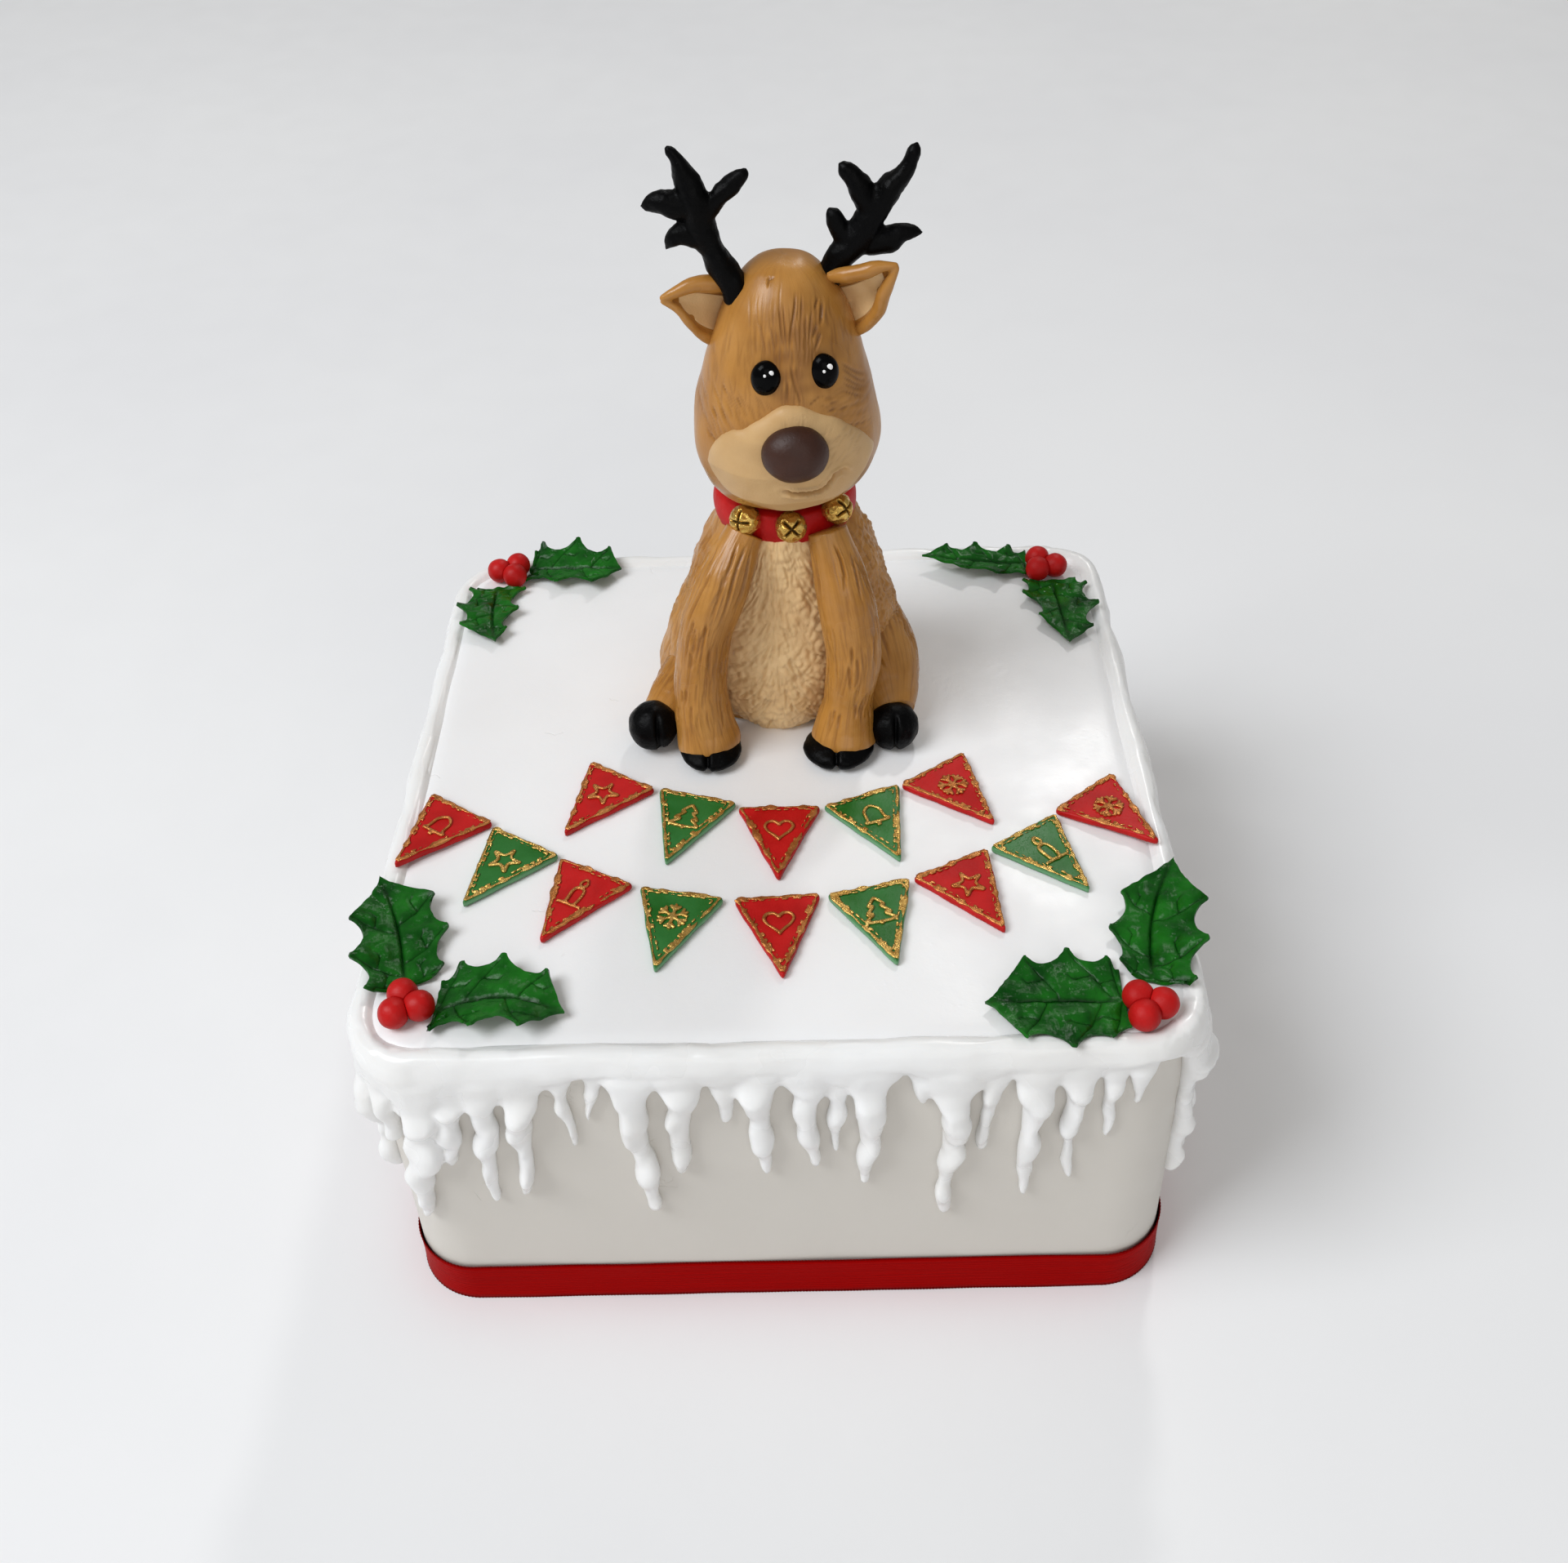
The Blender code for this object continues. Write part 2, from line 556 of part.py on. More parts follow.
def flag_mesh():
    bm = bmesh.new()
    corners = [Vector((-FLAG_BASE / 2, 0)), Vector((0, -FLAG_DEPTH)), Vector((FLAG_BASE / 2, 0))]
    middle = sum(corners, Vector((0, 0))) / 3
    outline = []
    for index, corner in enumerate(corners):
        before = (corners[index - 1] - corner).normalized()
        after = (corners[(index + 1) % 3] - corner).normalized()
        inward = (before + after).normalized()
        half_angle = before.angle(after) / 2
        centre = corner + inward * FLAG_CORNER / math.sin(half_angle)
        outward = math.atan2(-inward.y, -inward.x)
        spread = math.pi / 2 - half_angle
        for step in (-1, 0, 1):
            angle = outward + spread * step
            outline.append(centre + Vector((math.cos(angle), math.sin(angle))) * FLAG_CORNER)
    levels = [(GAP, 1.0), (FLAG_THICKNESS - FLAG_BEVEL, 1.0), (FLAG_THICKNESS, FLAG_TOP)]
    loops = []
    for height, share in levels:
        loops.append([bm.verts.new((*(middle + (point - middle) * share), height)) for point in outline])
    for lower, upper in zip(loops, loops[1:]):
        bridge(bm, lower, upper)
    bm.faces.new(loops[0])
    bm.faces.new(loops[-1])
    return finish_piece("flag_shape", bm)


def make_flags(on_top):
    shape = flag_mesh()
    for row, places in FLAGS.items():
        for index, (x, y, turn, tilt) in enumerate(places):
            flag = bpy.data.objects.new(f"flag_{row}_{index + 1}", shape.data.copy())
            bpy.context.scene.collection.objects.link(flag)
            flag.parent = on_top
            flag.location = (x * MM, y * MM, 0)
            flag.rotation_euler = (-math.radians(tilt), 0, math.radians(turn))
            paint(flag, "red" if index % 2 == 0 else "green")
    bpy.data.objects.remove(shape)


# Both faces of a leaf are split alike, so that the thin solid never crosses itself
def make_leaf(name, tip, base, bend, width, arch, tip_height, left_lift, right_lift):
    bm = bmesh.new()
    start, end = Vector(base), Vector(tip)
    way = (end - start).normalized()
    right = Vector((way.y, -way.x))
    stations = []
    for along, wide, wave in LEAF_OUTLINE:
        row = []
        bow = math.sin(math.pi * along)
        for share in (-1, 0, 1):
            side = right * (share * wide * width / 2 + bend * bow)
            place = start + (end - start) * (along + LEAF_RAKE * abs(share) * wide) + side
            lift = (right_lift if share > 0 else left_lift) * abs(share) * wide
            height = LEAF_REST + lift + tip_height * along**2 + arch * bow + wave * abs(share)
            row.append((place.x, place.y, height))
        stations.append(row)
    faces = {}
    for face, drop in (("top", LEAF_THICKNESS), ("bottom", 0.0)):
        rows = [[bm.verts.new((x, y, z + drop)) for x, y, z in row] for row in stations]
        first = bm.verts.new((start.x, start.y, LEAF_REST + drop))
        last = bm.verts.new((end.x, end.y, LEAF_REST + tip_height + drop))
        for near, far in zip(rows, rows[1:]):
            for i in range(2):
                bm.faces.new((near[i], near[i + 1], far[i + 1]))
                bm.faces.new((near[i], far[i + 1], far[i]))
        for i in range(2):
            bm.faces.new((first, rows[0][i + 1], rows[0][i]))
            bm.faces.new((last, rows[-1][i], rows[-1][i + 1]))
        faces[face] = [first] + [row[2] for row in rows] + [last] + [row[0] for row in reversed(rows)]
    bridge(bm, faces["bottom"], faces["top"])
    return finish_piece(name, bm)


def make_holly(on_top):
    for leaf in LEAVES:
        piece = make_leaf(*leaf)
        piece.parent = on_top
        paint(piece, "green")
    bm = bmesh.new()
    bmesh.ops.create_icosphere(bm, subdivisions=2, radius=BERRY_RADIUS)
    shape = finish_piece("berry_shape", bm)
    for corner, places in BERRIES.items():
        for index, (x, y) in enumerate(places):
            berry = bpy.data.objects.new(f"berry_{corner}_{index + 1}", shape.data.copy())
            bpy.context.scene.collection.objects.link(berry)
            berry.parent = on_top
            berry.location = (x * MM, y * MM, (BERRY_RADIUS + GAP) * MM)
            berry.rotation_euler = (index, index * 2, x)
            paint(berry, "red")
    bpy.data.objects.remove(shape)


# The reindeer's shapes. Grown copies of them cut their neighbours, which leaves the gap.


def torso(grow=0.0):
    return turned_body("torso", TORSO, grow, dome=0.1)


def belly(grow=0.0):
    return turned_body("belly", BELLY, grow, dome=2.5)


def collar(grow=0.0):
    return turned_body("collar", COLLAR, grow, sides=COLLAR_SIDES, dome=0.05)


def head(grow=0.0):
    return turned_body("head", HEAD, grow, sides=HEAD_SIDES)


def foreleg(side, grow=0.0):
    return limb(f"foreleg_{side}", FORELEGS[side], grow, start_cap=0.5, end_cap=0.05)


def hind_leg(side, grow=0.0):
    return limb(f"hind_leg_{side}", HIND_LEGS[side], grow, start_cap=2, end_cap=1)


def bell_centre(side):
    turn, up = BELLS[side]
    turn = math.radians(turn)
    x, y = COLLAR[2][:2]
    wide, deep = COLLAR[2][3:]
    return (x + (wide + BELL_PROUD) * math.sin(turn), y - (deep + BELL_PROUD) * math.cos(turn), up)


def bell(side, grow=0.0):
    return ball(f"bell_{side}", bell_centre(side), (BELL_RADIUS,) * 3, grow, **BELL)


# How far forward the head's front is at a place on its face
def head_front(x, z):
    for low, high in zip(HEAD, HEAD[1:]):
        if low[2] <= z <= high[2]:
            share = (z - low[2]) / (high[2] - low[2])
            ring = [a + (b - a) * share for a, b in zip(low, high)]
            return ring[1] - ring[4] * math.sqrt(1 - ((x - ring[0]) / ring[3]) ** 2)
    return HEAD[0][1]


# A cap over the head's lower front: a grown head within an outline, less the head
def make_muzzle():
    bm = bmesh.new()
    middle, level = MUZZLE_CENTRE
    outline = []
    for step in range(MUZZLE_POINTS):
        angle = math.tau * step / MUZZLE_POINTS
        across = math.copysign(abs(math.cos(angle)) ** MUZZLE_ROUNDNESS, math.cos(angle))
        x = middle + MUZZLE_HALF_WIDTH * across
        if math.sin(angle) > 0:
            peak = MUZZLE_PEAK * math.exp(-(((x - middle) / MUZZLE_PEAK_WIDTH) ** 2))
            z = level + MUZZLE_UP * math.sin(angle) + peak
        else:
            z = level + MUZZLE_DOWN * math.sin(angle)
        outline.append((x, z))
    near, far = [[bm.verts.new((x, y, z)) for x, z in outline] for y in MUZZLE_REACH]
    bridge(bm, near, far)
    bm.faces.new(near)
    bm.faces.new(far)
    outline_block = finish_piece("muzzle_outline", bm)
    muzzle = head(MUZZLE_THICKNESS)
    muzzle.name = "muzzle"
    carve(muzzle, outline_block, operation="INTERSECT")
    return carve(muzzle, head(GAP))


# An ear is a cup: a crescent section drawn from its base to its tip, open to the front
def ear(side):
    top, bottom, tip = (Vector(point) for point in EARS[side])
    bm = bmesh.new()
    loops = []
    for share, spread, cup in EAR_SECTIONS:
        centre = (top + bottom) / 2 * (1 - share) + tip * share
        half = (top - bottom) / 2 * spread
        depth = EAR_CUP * cup
        thick = EAR_THICKNESS * (1 - EAR_THINNING * share)
        corners = []
        for step in range(EAR_STEPS + 1):
            angle = math.pi * step / EAR_STEPS
            behind = Vector((0, depth * math.sin(angle), 0))
            corners.append(bm.verts.new(centre + half * math.cos(angle) + behind))
        for step in reversed(range(1, EAR_STEPS)):
            angle = math.pi * step / EAR_STEPS
            inner = half * (1 - thick / max(half.length, thick * 1.6)) * math.cos(angle)
            behind = Vector((0, (depth - thick) * math.sin(angle) - GAP, 0))
            corners.append(bm.verts.new(centre + inner + behind))
        loops.append(corners)
    for lower, upper in zip(loops, loops[1:]):
        bridge(bm, lower, upper)
    bm.faces.new(loops[0])
    bm.faces.new(loops[-1])
    return finish_piece(f"ear_{side}", bm)


def antler(side, grow=0.0):
    branches = []
    for index, points in enumerate(ANTLERS[side]):
        back = ANTLER_BACKS[side] + TINE_STEP * index
        branch = [(x, back, z, radius, radius) for x, z, radius in points]
        name = f"antler_{side}" if index == 0 else "tine"
        blunt = 0.75 * points[-1][2]
        branches.append(limb(name, branch, grow, sides=ANTLER_SIDES, end_cap=blunt, across=(0, 1, 0)))
    return join_all(branches[0], branches[1:])


def make_reindeer(on_top):
    made = {}
    made["fur"] = [rest_flat(torso())]
    made["cream"] = [rest_flat(carve(belly(), torso(GAP), collar(GAP)))]
    collar_ring = carve(collar(), torso(GAP))
    bells = [carve(bell(side), collar(GAP), head(GAP)) for side in BELLS]
    made["red"] = [collar_ring]
    made["gold"] = bells
    made["black"] = []
    for side in ("left", "right"):
        leg = carve(foreleg(side), torso(GAP), belly(GAP), collar(GAP))
        for bell_side in BELLS:
            carve(leg, bell(bell_side, GAP))
        made["fur"].append(rest_flat(leg))
        hind = carve(hind_leg(side), torso(GAP), foreleg(side, GAP))
        made["fur"].append(rest_flat(hind))
        fore_hoof = ball(f"fore_hoof_{side}", *FORE_HOOVES[side])
        carve(fore_hoof, foreleg(side, GAP), torso(GAP), belly(GAP))
        hind_hoof = ball(f"hind_hoof_{side}", *HIND_HOOVES[side])
        carve(hind_hoof, hind_leg(side, GAP), foreleg(side, GAP))
        made["black"] += [rest_flat(fore_hoof), rest_flat(hind_hoof)]
    made["fur"].append(head())
    made["cream"].append(make_muzzle())
    nose_place = (NOSE[0], head_front(*NOSE) - MUZZLE_THICKNESS, NOSE[1])
    nose = ball("nose", nose_place, NOSE_SIZE, **NOSE_BALL)
    made["nose"] = [carve(nose, head(MUZZLE_THICKNESS + GAP))]
    for side, (x, z) in EYES.items():
        eye = ball(f"eye_{side}", (x, head_front(x, z) + EYE_SUNK, z), EYE_SIZE)
        made["black"].append(carve(eye, head(GAP)))
        made["fur"].append(carve(ear(side), head(GAP), antler(side, GAP)))
        made["black"].append(carve(antler(side), head(GAP)))
    for finish, pieces in made.items():
        for piece in pieces:
            piece.parent = on_top
            paint(piece, finish)


def main():
    clear_scene()
    paint(make_cake(), "icing")
    paint(make_ribbon(), "ribbon")
    paint(make_icing(), "icing")
    on_top = bpy.data.objects.new("cake_top", None)
    bpy.context.scene.collection.objects.link(on_top)
    on_top.location.z = CAKE_HEIGHT * MM
    make_flags(on_top)
    make_holly(on_top)
    make_reindeer(on_top)
    bpy.context.view_layer.update()


main()
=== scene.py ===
# An iced Christmas cake: poured icing with icicles, a seated reindeer, bunting, holly and a satin ribbon.
# Shapes are drawn in millimetres and settled in metres.
import math
import random

import bmesh
import bpy
from mathutils import Euler, Matrix, Vector, noise


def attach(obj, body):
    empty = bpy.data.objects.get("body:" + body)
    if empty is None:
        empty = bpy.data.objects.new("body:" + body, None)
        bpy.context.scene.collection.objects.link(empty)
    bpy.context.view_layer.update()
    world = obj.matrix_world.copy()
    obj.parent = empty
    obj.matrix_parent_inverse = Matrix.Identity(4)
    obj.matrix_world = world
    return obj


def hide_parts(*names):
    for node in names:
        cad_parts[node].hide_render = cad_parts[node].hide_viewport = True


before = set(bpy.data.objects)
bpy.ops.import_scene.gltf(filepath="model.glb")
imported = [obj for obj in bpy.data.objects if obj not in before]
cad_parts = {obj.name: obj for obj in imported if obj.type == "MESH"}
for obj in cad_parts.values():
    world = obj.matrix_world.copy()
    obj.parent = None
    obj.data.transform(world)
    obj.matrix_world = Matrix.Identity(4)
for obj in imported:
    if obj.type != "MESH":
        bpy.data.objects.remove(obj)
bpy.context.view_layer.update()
print("frame loaded")


# Mesh helpers

def link(name, data):
    item = bpy.data.objects.new(name, data)
    bpy.context.scene.collection.objects.link(item)
    return item


def objectFrom(name, bm):
    bmesh.ops.recalc_face_normals(bm, faces=bm.faces)
    mesh = bpy.data.meshes.new(name)
    bm.to_mesh(mesh)
    bm.free()
    return link(name, mesh)


# The points of a new grid, each with how far along and up the grid it lies, from 0 to 1
def gridOn(bm, columns, rows, **more):
    made = bmesh.ops.create_grid(bm, x_segments=columns, y_segments=rows, size=1, **more)["verts"]
    return [(vert, (vert.co.x + 1) / 2, (vert.co.y + 1) / 2) for vert in made]


def joinPoints(bm, verts):
    bmesh.ops.remove_doubles(bm, verts=verts, dist=0.001)


def fillHoles(bm):
    bmesh.ops.holes_fill(bm, edges=[edge for edge in bm.edges if edge.is_boundary], sides=0)


# Applies modifiers to a piece, each given as its kind and its settings
def reshape(piece, *steps):
    for kind, settings in steps:
        modifier = piece.modifiers.new(kind, kind)
        for key, value in settings.items():
            setattr(modifier, key, value)
    graph = bpy.context.evaluated_depsgraph_get()
    mesh = bpy.data.meshes.new_from_object(piece.evaluated_get(graph))
    old = piece.data
    piece.modifiers.clear()
    piece.data = mesh
    bpy.data.meshes.remove(old)
    mesh.name = piece.name


# Fuses everything in a piece into one skin and rounds it off
def melt(piece, voxel, rounds):
    fuse = ("REMESH", {"mode": "VOXEL", "voxel_size": voxel})
    reshape(piece, fuse, ("SMOOTH", {"factor": 0.5, "iterations": rounds}))


# Moves every point along its normal by what the rule says, and keeps how deep it is cut as "groove", which
# paints shade into the cuts
# Some rules put more into "groove": painted shade on the cake's walls, a darker brow on the head and the
# paler cut sides of green flags
def sculpt(piece, rule):
    mesh = piece.data
    flow = mesh.attributes.get("flow")
    flows = [Vector(item.vector) for item in flow.data] if flow else [None] * len(mesh.vertices)
    normals = [item.vector.copy() for item in mesh.vertex_normals]
    values, depths = [], []
    for vert, normal, along in zip(mesh.vertices, normals, flows):
        shift, depth = rule(vert.co, normal, along)
        values.extend(vert.co + normal * shift)
        depths.append(depth)
    mesh.vertices.foreach_set("co", values)
    mesh.attributes.new("groove", "FLOAT", "POINT").data.foreach_set("value", depths)
    mesh.update()


# Gives a finished piece its finish, brings it to metres and lets it stand for its CAD nodes
def settle(piece, look, *nodes, onTop=True):
    lift = cake["height"] if onTop else 0
    piece.data.transform(Matrix.Scale(0.001, 4) @ Matrix.Translation((0, 0, lift)))
    piece.data.materials.clear()
    piece.data.materials.append(finishes[look])
    piece.data.shade_smooth()
    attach(piece, "root")
    if nodes:
        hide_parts(*nodes)


def roundOff(bm, geom, offset, segments, affect="EDGES"):
    bmesh.ops.bevel(bm, geom=geom, offset=offset, segments=segments, profile=0.5, affect=affect, material=-1)


# A piece on the cake's top, from its mesh to its finish
def makePiece(name, bm, rule, look, *nodes):
    piece = objectFrom(name, bm)
    sculpt(piece, rule)
    settle(piece, look, *nodes)


# How far along a line each of its points lies
def distances(points, least=0.0):
    result = [0.0]
    for near, far in zip(points, points[1:]):
        result.append(result[-1] + max((far - near).length, least))
    return result


# Rows evenly spaced along a smooth curve through the given ones
def resample(rows, count):
    rows = [Vector(row) for row in rows]
    last = len(rows) - 1
    lengths = distances(rows, least=1e-6)
    slopes = []
    for index in range(len(rows)):
        low, high = max(index - 1, 0), min(index + 1, last)
        slopes.append((rows[high] - rows[low]) / (lengths[high] - lengths[low]))
    result = []
    part = 0
    for step in range(count):
        place = lengths[-1] * step / (count - 1)
        while part < last - 1 and lengths[part + 1] < place:
            part += 1
        span = lengths[part + 1] - lengths[part]
        t = (place - lengths[part]) / span
        near = rows[part] * (2 * t**3 - 3 * t**2 + 1) + slopes[part] * (span * (t**3 - 2 * t**2 + t))
        far = rows[part + 1] * (3 * t**2 - 2 * t**3) + slopes[part + 1] * (span * (t**3 - t**2))
        result.append(near + far)
    return result


# A closed skin round stations (across, back, up, half width, half depth). It keeps where each point lies on
# the straightened shape as "flow", so that carved strokes can follow the limb.
def skin(bm, stations, around, along, across=None):
    rings = resample(stations, along + 1)
    centres = [Vector(ring[:3]) for ring in rings]
    girth = sum(ring[3] + ring[4] for ring in rings) / (2 * len(rings))
    axes = [(Vector((1, 0, 0)), Vector((0, 1, 0)))] * len(rings)
    for index in range(len(rings) if across else 0):
        way = (centres[min(index + 1, along)] - centres[max(index - 1, 0)]).normalized()
        wideWay = (Vector(across) - way * way.dot(Vector(across))).normalized()
        axes[index] = (wideWay, way.cross(wideWay))
    travelled = distances(rings)
    flow = bm.verts.layers.float_vector.get("flow") or bm.verts.layers.float_vector.new("flow")
    grid = gridOn(bm, around, along)
    for vert, u, v in grid:
        angle = math.tau * u
        row = round(v * along)
        wide, deep = max(rings[row][3], 0.0), max(rings[row][4], 0.0)
        wideWay, deepWay = axes[row]
        vert.co = centres[row] + wideWay * wide * math.cos(angle) + deepWay * deep * math.sin(angle)
        vert[flow] = Vector((girth * math.cos(angle), girth * math.sin(angle), travelled[row]))
    joinPoints(bm, [vert for vert, *_ in grid])
    fillHoles(bm)
    return girth, travelled[-1]


# A rope of paste along a level line of points, each (across, back, up, radius)
def rope(bm, points, flat=1.0, around=10, pitch=0.5):
    length = sum(math.dist(near[:3], far[:3]) for near, far in zip(points, points[1:]))
    stations = [(x, y, z, radius * flat, radius) for x, y, z, radius in points]
    skin(bm, stations, around, max(4, round(length / pitch)), across=(0, 0, 1))


# Cuts made with a modelling tool in a surface laid flat, each (line of places, half width, depth). What
# comes back tells how far the skin moves at a place, and how deep inside a cut it is. A cut throws up a
# small lip and fades out at its two ends.
def carve(cuts, cell=3.0):
    parts = {}
    for points, half, deep in cuts:
        total = sum(math.dist(near, far) for near, far in zip(points, points[1:]))
        start = 0.0
        for near, far in zip(points, points[1:]):
            long = max(math.dist(near, far), 0.001)
            way = (far[0] - near[0], far[1] - near[1])
            part = (near, way, long, start / total, long / total, half, deep)
            start += long
            columns, rows = [
                range(math.floor((min(near[axis], far[axis]) - 2 * half) / cell),
                      math.floor((max(near[axis], far[axis]) + 2 * half) / cell) + 1)
                for axis in (0, 1)
            ]
            for column in columns:
                for row in rows:
                    parts.setdefault((column, row), []).append(part)

    def at(u, v):
        groove = lip = inside = 0.0
        here = parts.get((math.floor(u / cell), math.floor(v / cell)), ())
        for near, way, long, start, span, half, deep in here:
            t = min(max(((u - near[0]) * way[0] + (v - near[1]) * way[1]) / long**2, 0.0), 1.0)
            off = math.hypot(u - near[0] - way[0] * t, v - near[1] - way[1] * t) / half
            if off > 2:
                continue
            along = start + span * t
            value = (1 - off * off) * math.exp(-off * off)
            value *= min(1.0, along * 5 + 0.05, (1 - along) * 2.5 + 0.05)
            groove, lip, inside = max(groove, value * deep), min(lip, value * deep), max(inside, value)
        return (-groove if groove > 0 else -2.2 * lip), inside

    return at


# Seeded cuts over an area. Their heading is in degrees from straight along, or a rule that gives it.
def scatter(draw, count, across, along, length, half, deep, heading, wrap=None):
    cuts = []
    for _ in range(count):
        u, v = draw.uniform(*across), draw.uniform(*along)
        turn = heading(u, v) + draw.uniform(-7, 7) if callable(heading) else draw.uniform(*heading)
        turn = math.radians(turn)
        long, bow = draw.uniform(*length), draw.uniform(-0.08, 0.08)
        way = (math.sin(turn) * long, math.cos(turn) * long)
        points = []
        for step in range(4):
            t = step / 3
            aside = bow * 4 * t * (1 - t)
            points.append((u + way[0] * t + way[1] * aside, v + way[1] * t - way[0] * aside))
        size, depth = half * draw.uniform(0.8, 1.25), draw.uniform(*deep)
        for turnRound in (0, -wrap, wrap) if wrap else (0,):
            cuts.append(([(x + turnRound, y) for x, y in points], size, depth))
    return cuts


def lumps(place, size, seed=0.0):
    return noise.noise(place / size + Vector((seed, seed * 0.7, -seed)))


# The height of uneven paste at a place, from waves of (size, seed, height)
def uneven(place, *waves):
    return sum(lumps(place, size, seed) * height for size, seed, height in waves)


# A rule for a piece that is only uneven
def rolled(*waves):
    return lambda place, normal, flow: (uneven(place, *waves), 0.0)


def fade(value, low, high):
    t = min(max((value - low) / (high - low), 0.0), 1.0)
    return t * t * (3 - 2 * t)


# Node helpers: what is plugged in is a link or a constant

def plug(tree, node, sockets):
    for key, value in sockets.items():
        if isinstance(value, bpy.types.NodeSocket):
            tree.links.new(value, node.inputs[key])
        else:
            node.inputs[key].default_value = value


def addNode(tree, kind, sockets=None, **settings):
    node = tree.nodes.new("ShaderNode" + kind)
    for key, value in settings.items():
        setattr(node, key, value)
    plug(tree, node, sockets or {})
    return node


def addMath(tree, operation, *values, **settings):
    return addNode(tree, "Math", dict(enumerate(values)), operation=operation, **settings).outputs[0]


def addNoise(tree, place, scale, detail, **more):
    sockets = {"Vector": place, "Scale": scale, "Detail": detail, **more}
    return addNode(tree, "TexNoise", sockets).outputs["Fac"]


def addCells(tree, place, scale, feature="F1"):
    return addNode(tree, "TexVoronoi", {"Vector": place, "Scale": scale},
                   feature=feature).outputs["Distance"]


# Moves a value from one range to another
def addRange(tree, value, low, high, start=0.0, end=1.0):
    sockets = {"Value": value, "From Min": low, "From Max": high, "To Min": start, "To Max": end}
    return addNode(tree, "MapRange", sockets).outputs["Result"]


# Colour mix, by its factor and its two colours
def mixColours(tree, factor, first, second):
    return addNode(tree, "Mix", {0: factor, 6: first, 7: second}, data_type="RGBA").outputs[2]


def addBump(tree, height, strength, distance):
    return addNode(tree, "Bump", {"Height": height, "Strength": strength, "Distance": distance}).outputs[0]


# A group of the nodes that a function adds, with one output. Its inputs' first values are numbers, places of
# three parts or colours of four.
def newGroup(build, output, **inputs):
    tree = bpy.data.node_groups.new(build.__name__, "ShaderNodeTree")
    kinds = {1: "NodeSocketFloat", 3: "NodeSocketVector", 4: "NodeSocketColor"}
    for label, value in inputs.items():
        kind = kinds[len(value) if isinstance(value, tuple) else 1]
        tree.interface.new_socket(name=label, in_out="INPUT", socket_type=kind).default_value = value
    kind = kinds[4 if output == "Color" else 1]
    tree.interface.new_socket(name=output, in_out="OUTPUT", socket_type=kind)
    given, out = tree.nodes.new("NodeGroupInput").outputs, tree.nodes.new("NodeGroupOutput").inputs
    tree.links.new(build(tree, given), out[output])
    return tree


def tone(*parts):
    linear = [((part / 255 + 0.055) / 1.055) ** 2.4 if part > 10 else part / 3295 for part in parts]
    return (*linear, 1)


# Numbers that all the groups' patterns share
pattern = {"patches": (0.32, 0.68), "gloss": (0.35, 0.65), "streaks": (0.48, 0.72), "pitWidth": 0.25,
           "pits": 0.4, "crackWidth": 0.02, "crackAreas": 45.0, "bendScale": 90.0, "bend": 0.02}


# Kneaded paste: two tones in soft patches, and a third tone mixed in by the "groove" mask as painted shade
# in the cuts
def pasteTone(tree, given):
    broad = addNoise(tree, given["Place"], given["Patches"], 4.0)
    tones = mixColours(tree, addRange(tree, broad, *pattern["patches"]), given["Dark"], given["Light"])
    groove = addNode(tree, "Attribute", attribute_name="groove").outputs["Fac"]
    depth = addMath(tree, "MULTIPLY", groove, given["Depth"], use_clamp=True)
    return mixColours(tree, depth, tones, given["Cut"])


# The fine grain of paste: tiny pits and low rises, as a height
def pasteGrain(tree, given):
    fine = addNoise(tree, given["Place"], given["Scale"], 5.0, Roughness=0.6)
    cells = addRange(tree, addCells(tree, given["Place"], given["Scale"]), 0.0, pattern["pitWidth"])
    pits = addMath(tree, "MULTIPLY", cells, pattern["pits"])
    return addMath(tree, "ADD", fine, pits)


# Fine combed lines that follow the limb, as a height
def combedLines(tree, given):
    flow = addNode(tree, "Attribute", attribute_name="flow").outputs["Vector"]
    size = addNode(tree, "CombineXYZ", {"X": given["Across"], "Y": given["Across"], "Z": given["Along"]})
    place = addNode(tree, "VectorMath", {0: flow, 1: size.outputs[0]}, operation="MULTIPLY").outputs[0]
    return addNoise(tree, place, 1.0, 3.0)


# Duller and glossier patches, as a roughness
def glossPatches(tree, given):
    broad = addNoise(tree, given["Place"], given["Scale"], 3.0)
    return addRange(tree, broad, *pattern["gloss"], given["Glossy"], given["Dull"])


# Sparse hairline cracks in sugar paste, as a height
def hairCracks(tree, given):
    waves = {"Vector": given["Place"], "Scale": pattern["bendScale"], "Detail": 3.0}
    bend = addNode(tree, "TexNoise", waves).outputs["Color"]
    pull = addNode(tree, "VectorMath", {0: bend, "Scale": pattern["bend"]}, operation="SCALE").outputs[0]
    place = addNode(tree, "VectorMath", {0: given["Place"], 1: pull}).outputs[0]
    cells = addCells(tree, place, given["Scale"], "DISTANCE_TO_EDGE")
    line = addRange(tree, cells, 0.0, pattern["crackWidth"], 1.0, 0.0)
    where = addNoise(tree, given["Place"], pattern["crackAreas"], 1.0)
    cut = addMath(tree, "MULTIPLY", line, addMath(tree, "GREATER_THAN", where, given["Rare"]))
    return addMath(tree, "MULTIPLY", cut, -1.0)


anywhere, white = (0.0, 0.0, 0.0), (1, 1, 1, 1)
groups = {
    "tone": newGroup(pasteTone, "Color", Place=anywhere, Light=white, Dark=white, Cut=white, Patches=60.0,
                     Depth=0.6),
    "grain": newGroup(pasteGrain, "Height", Place=anywhere, Scale=900.0),
    "combed": newGroup(combedLines, "Height", Across=1.0, Along=0.1),
    "gloss": newGroup(glossPatches, "Roughness", Place=anywhere, Scale=40.0, Glossy=0.3, Dull=0.6),
    "cracks": newGroup(hairCracks, "Height", Place=anywhere, Scale=60.0, Rare=0.6),
}


def newMaterial(name):
    material = bpy.data.materials.new(name)
    material.use_nodes = True
    return material, material.node_tree, material.node_tree.nodes["Principled BSDF"]


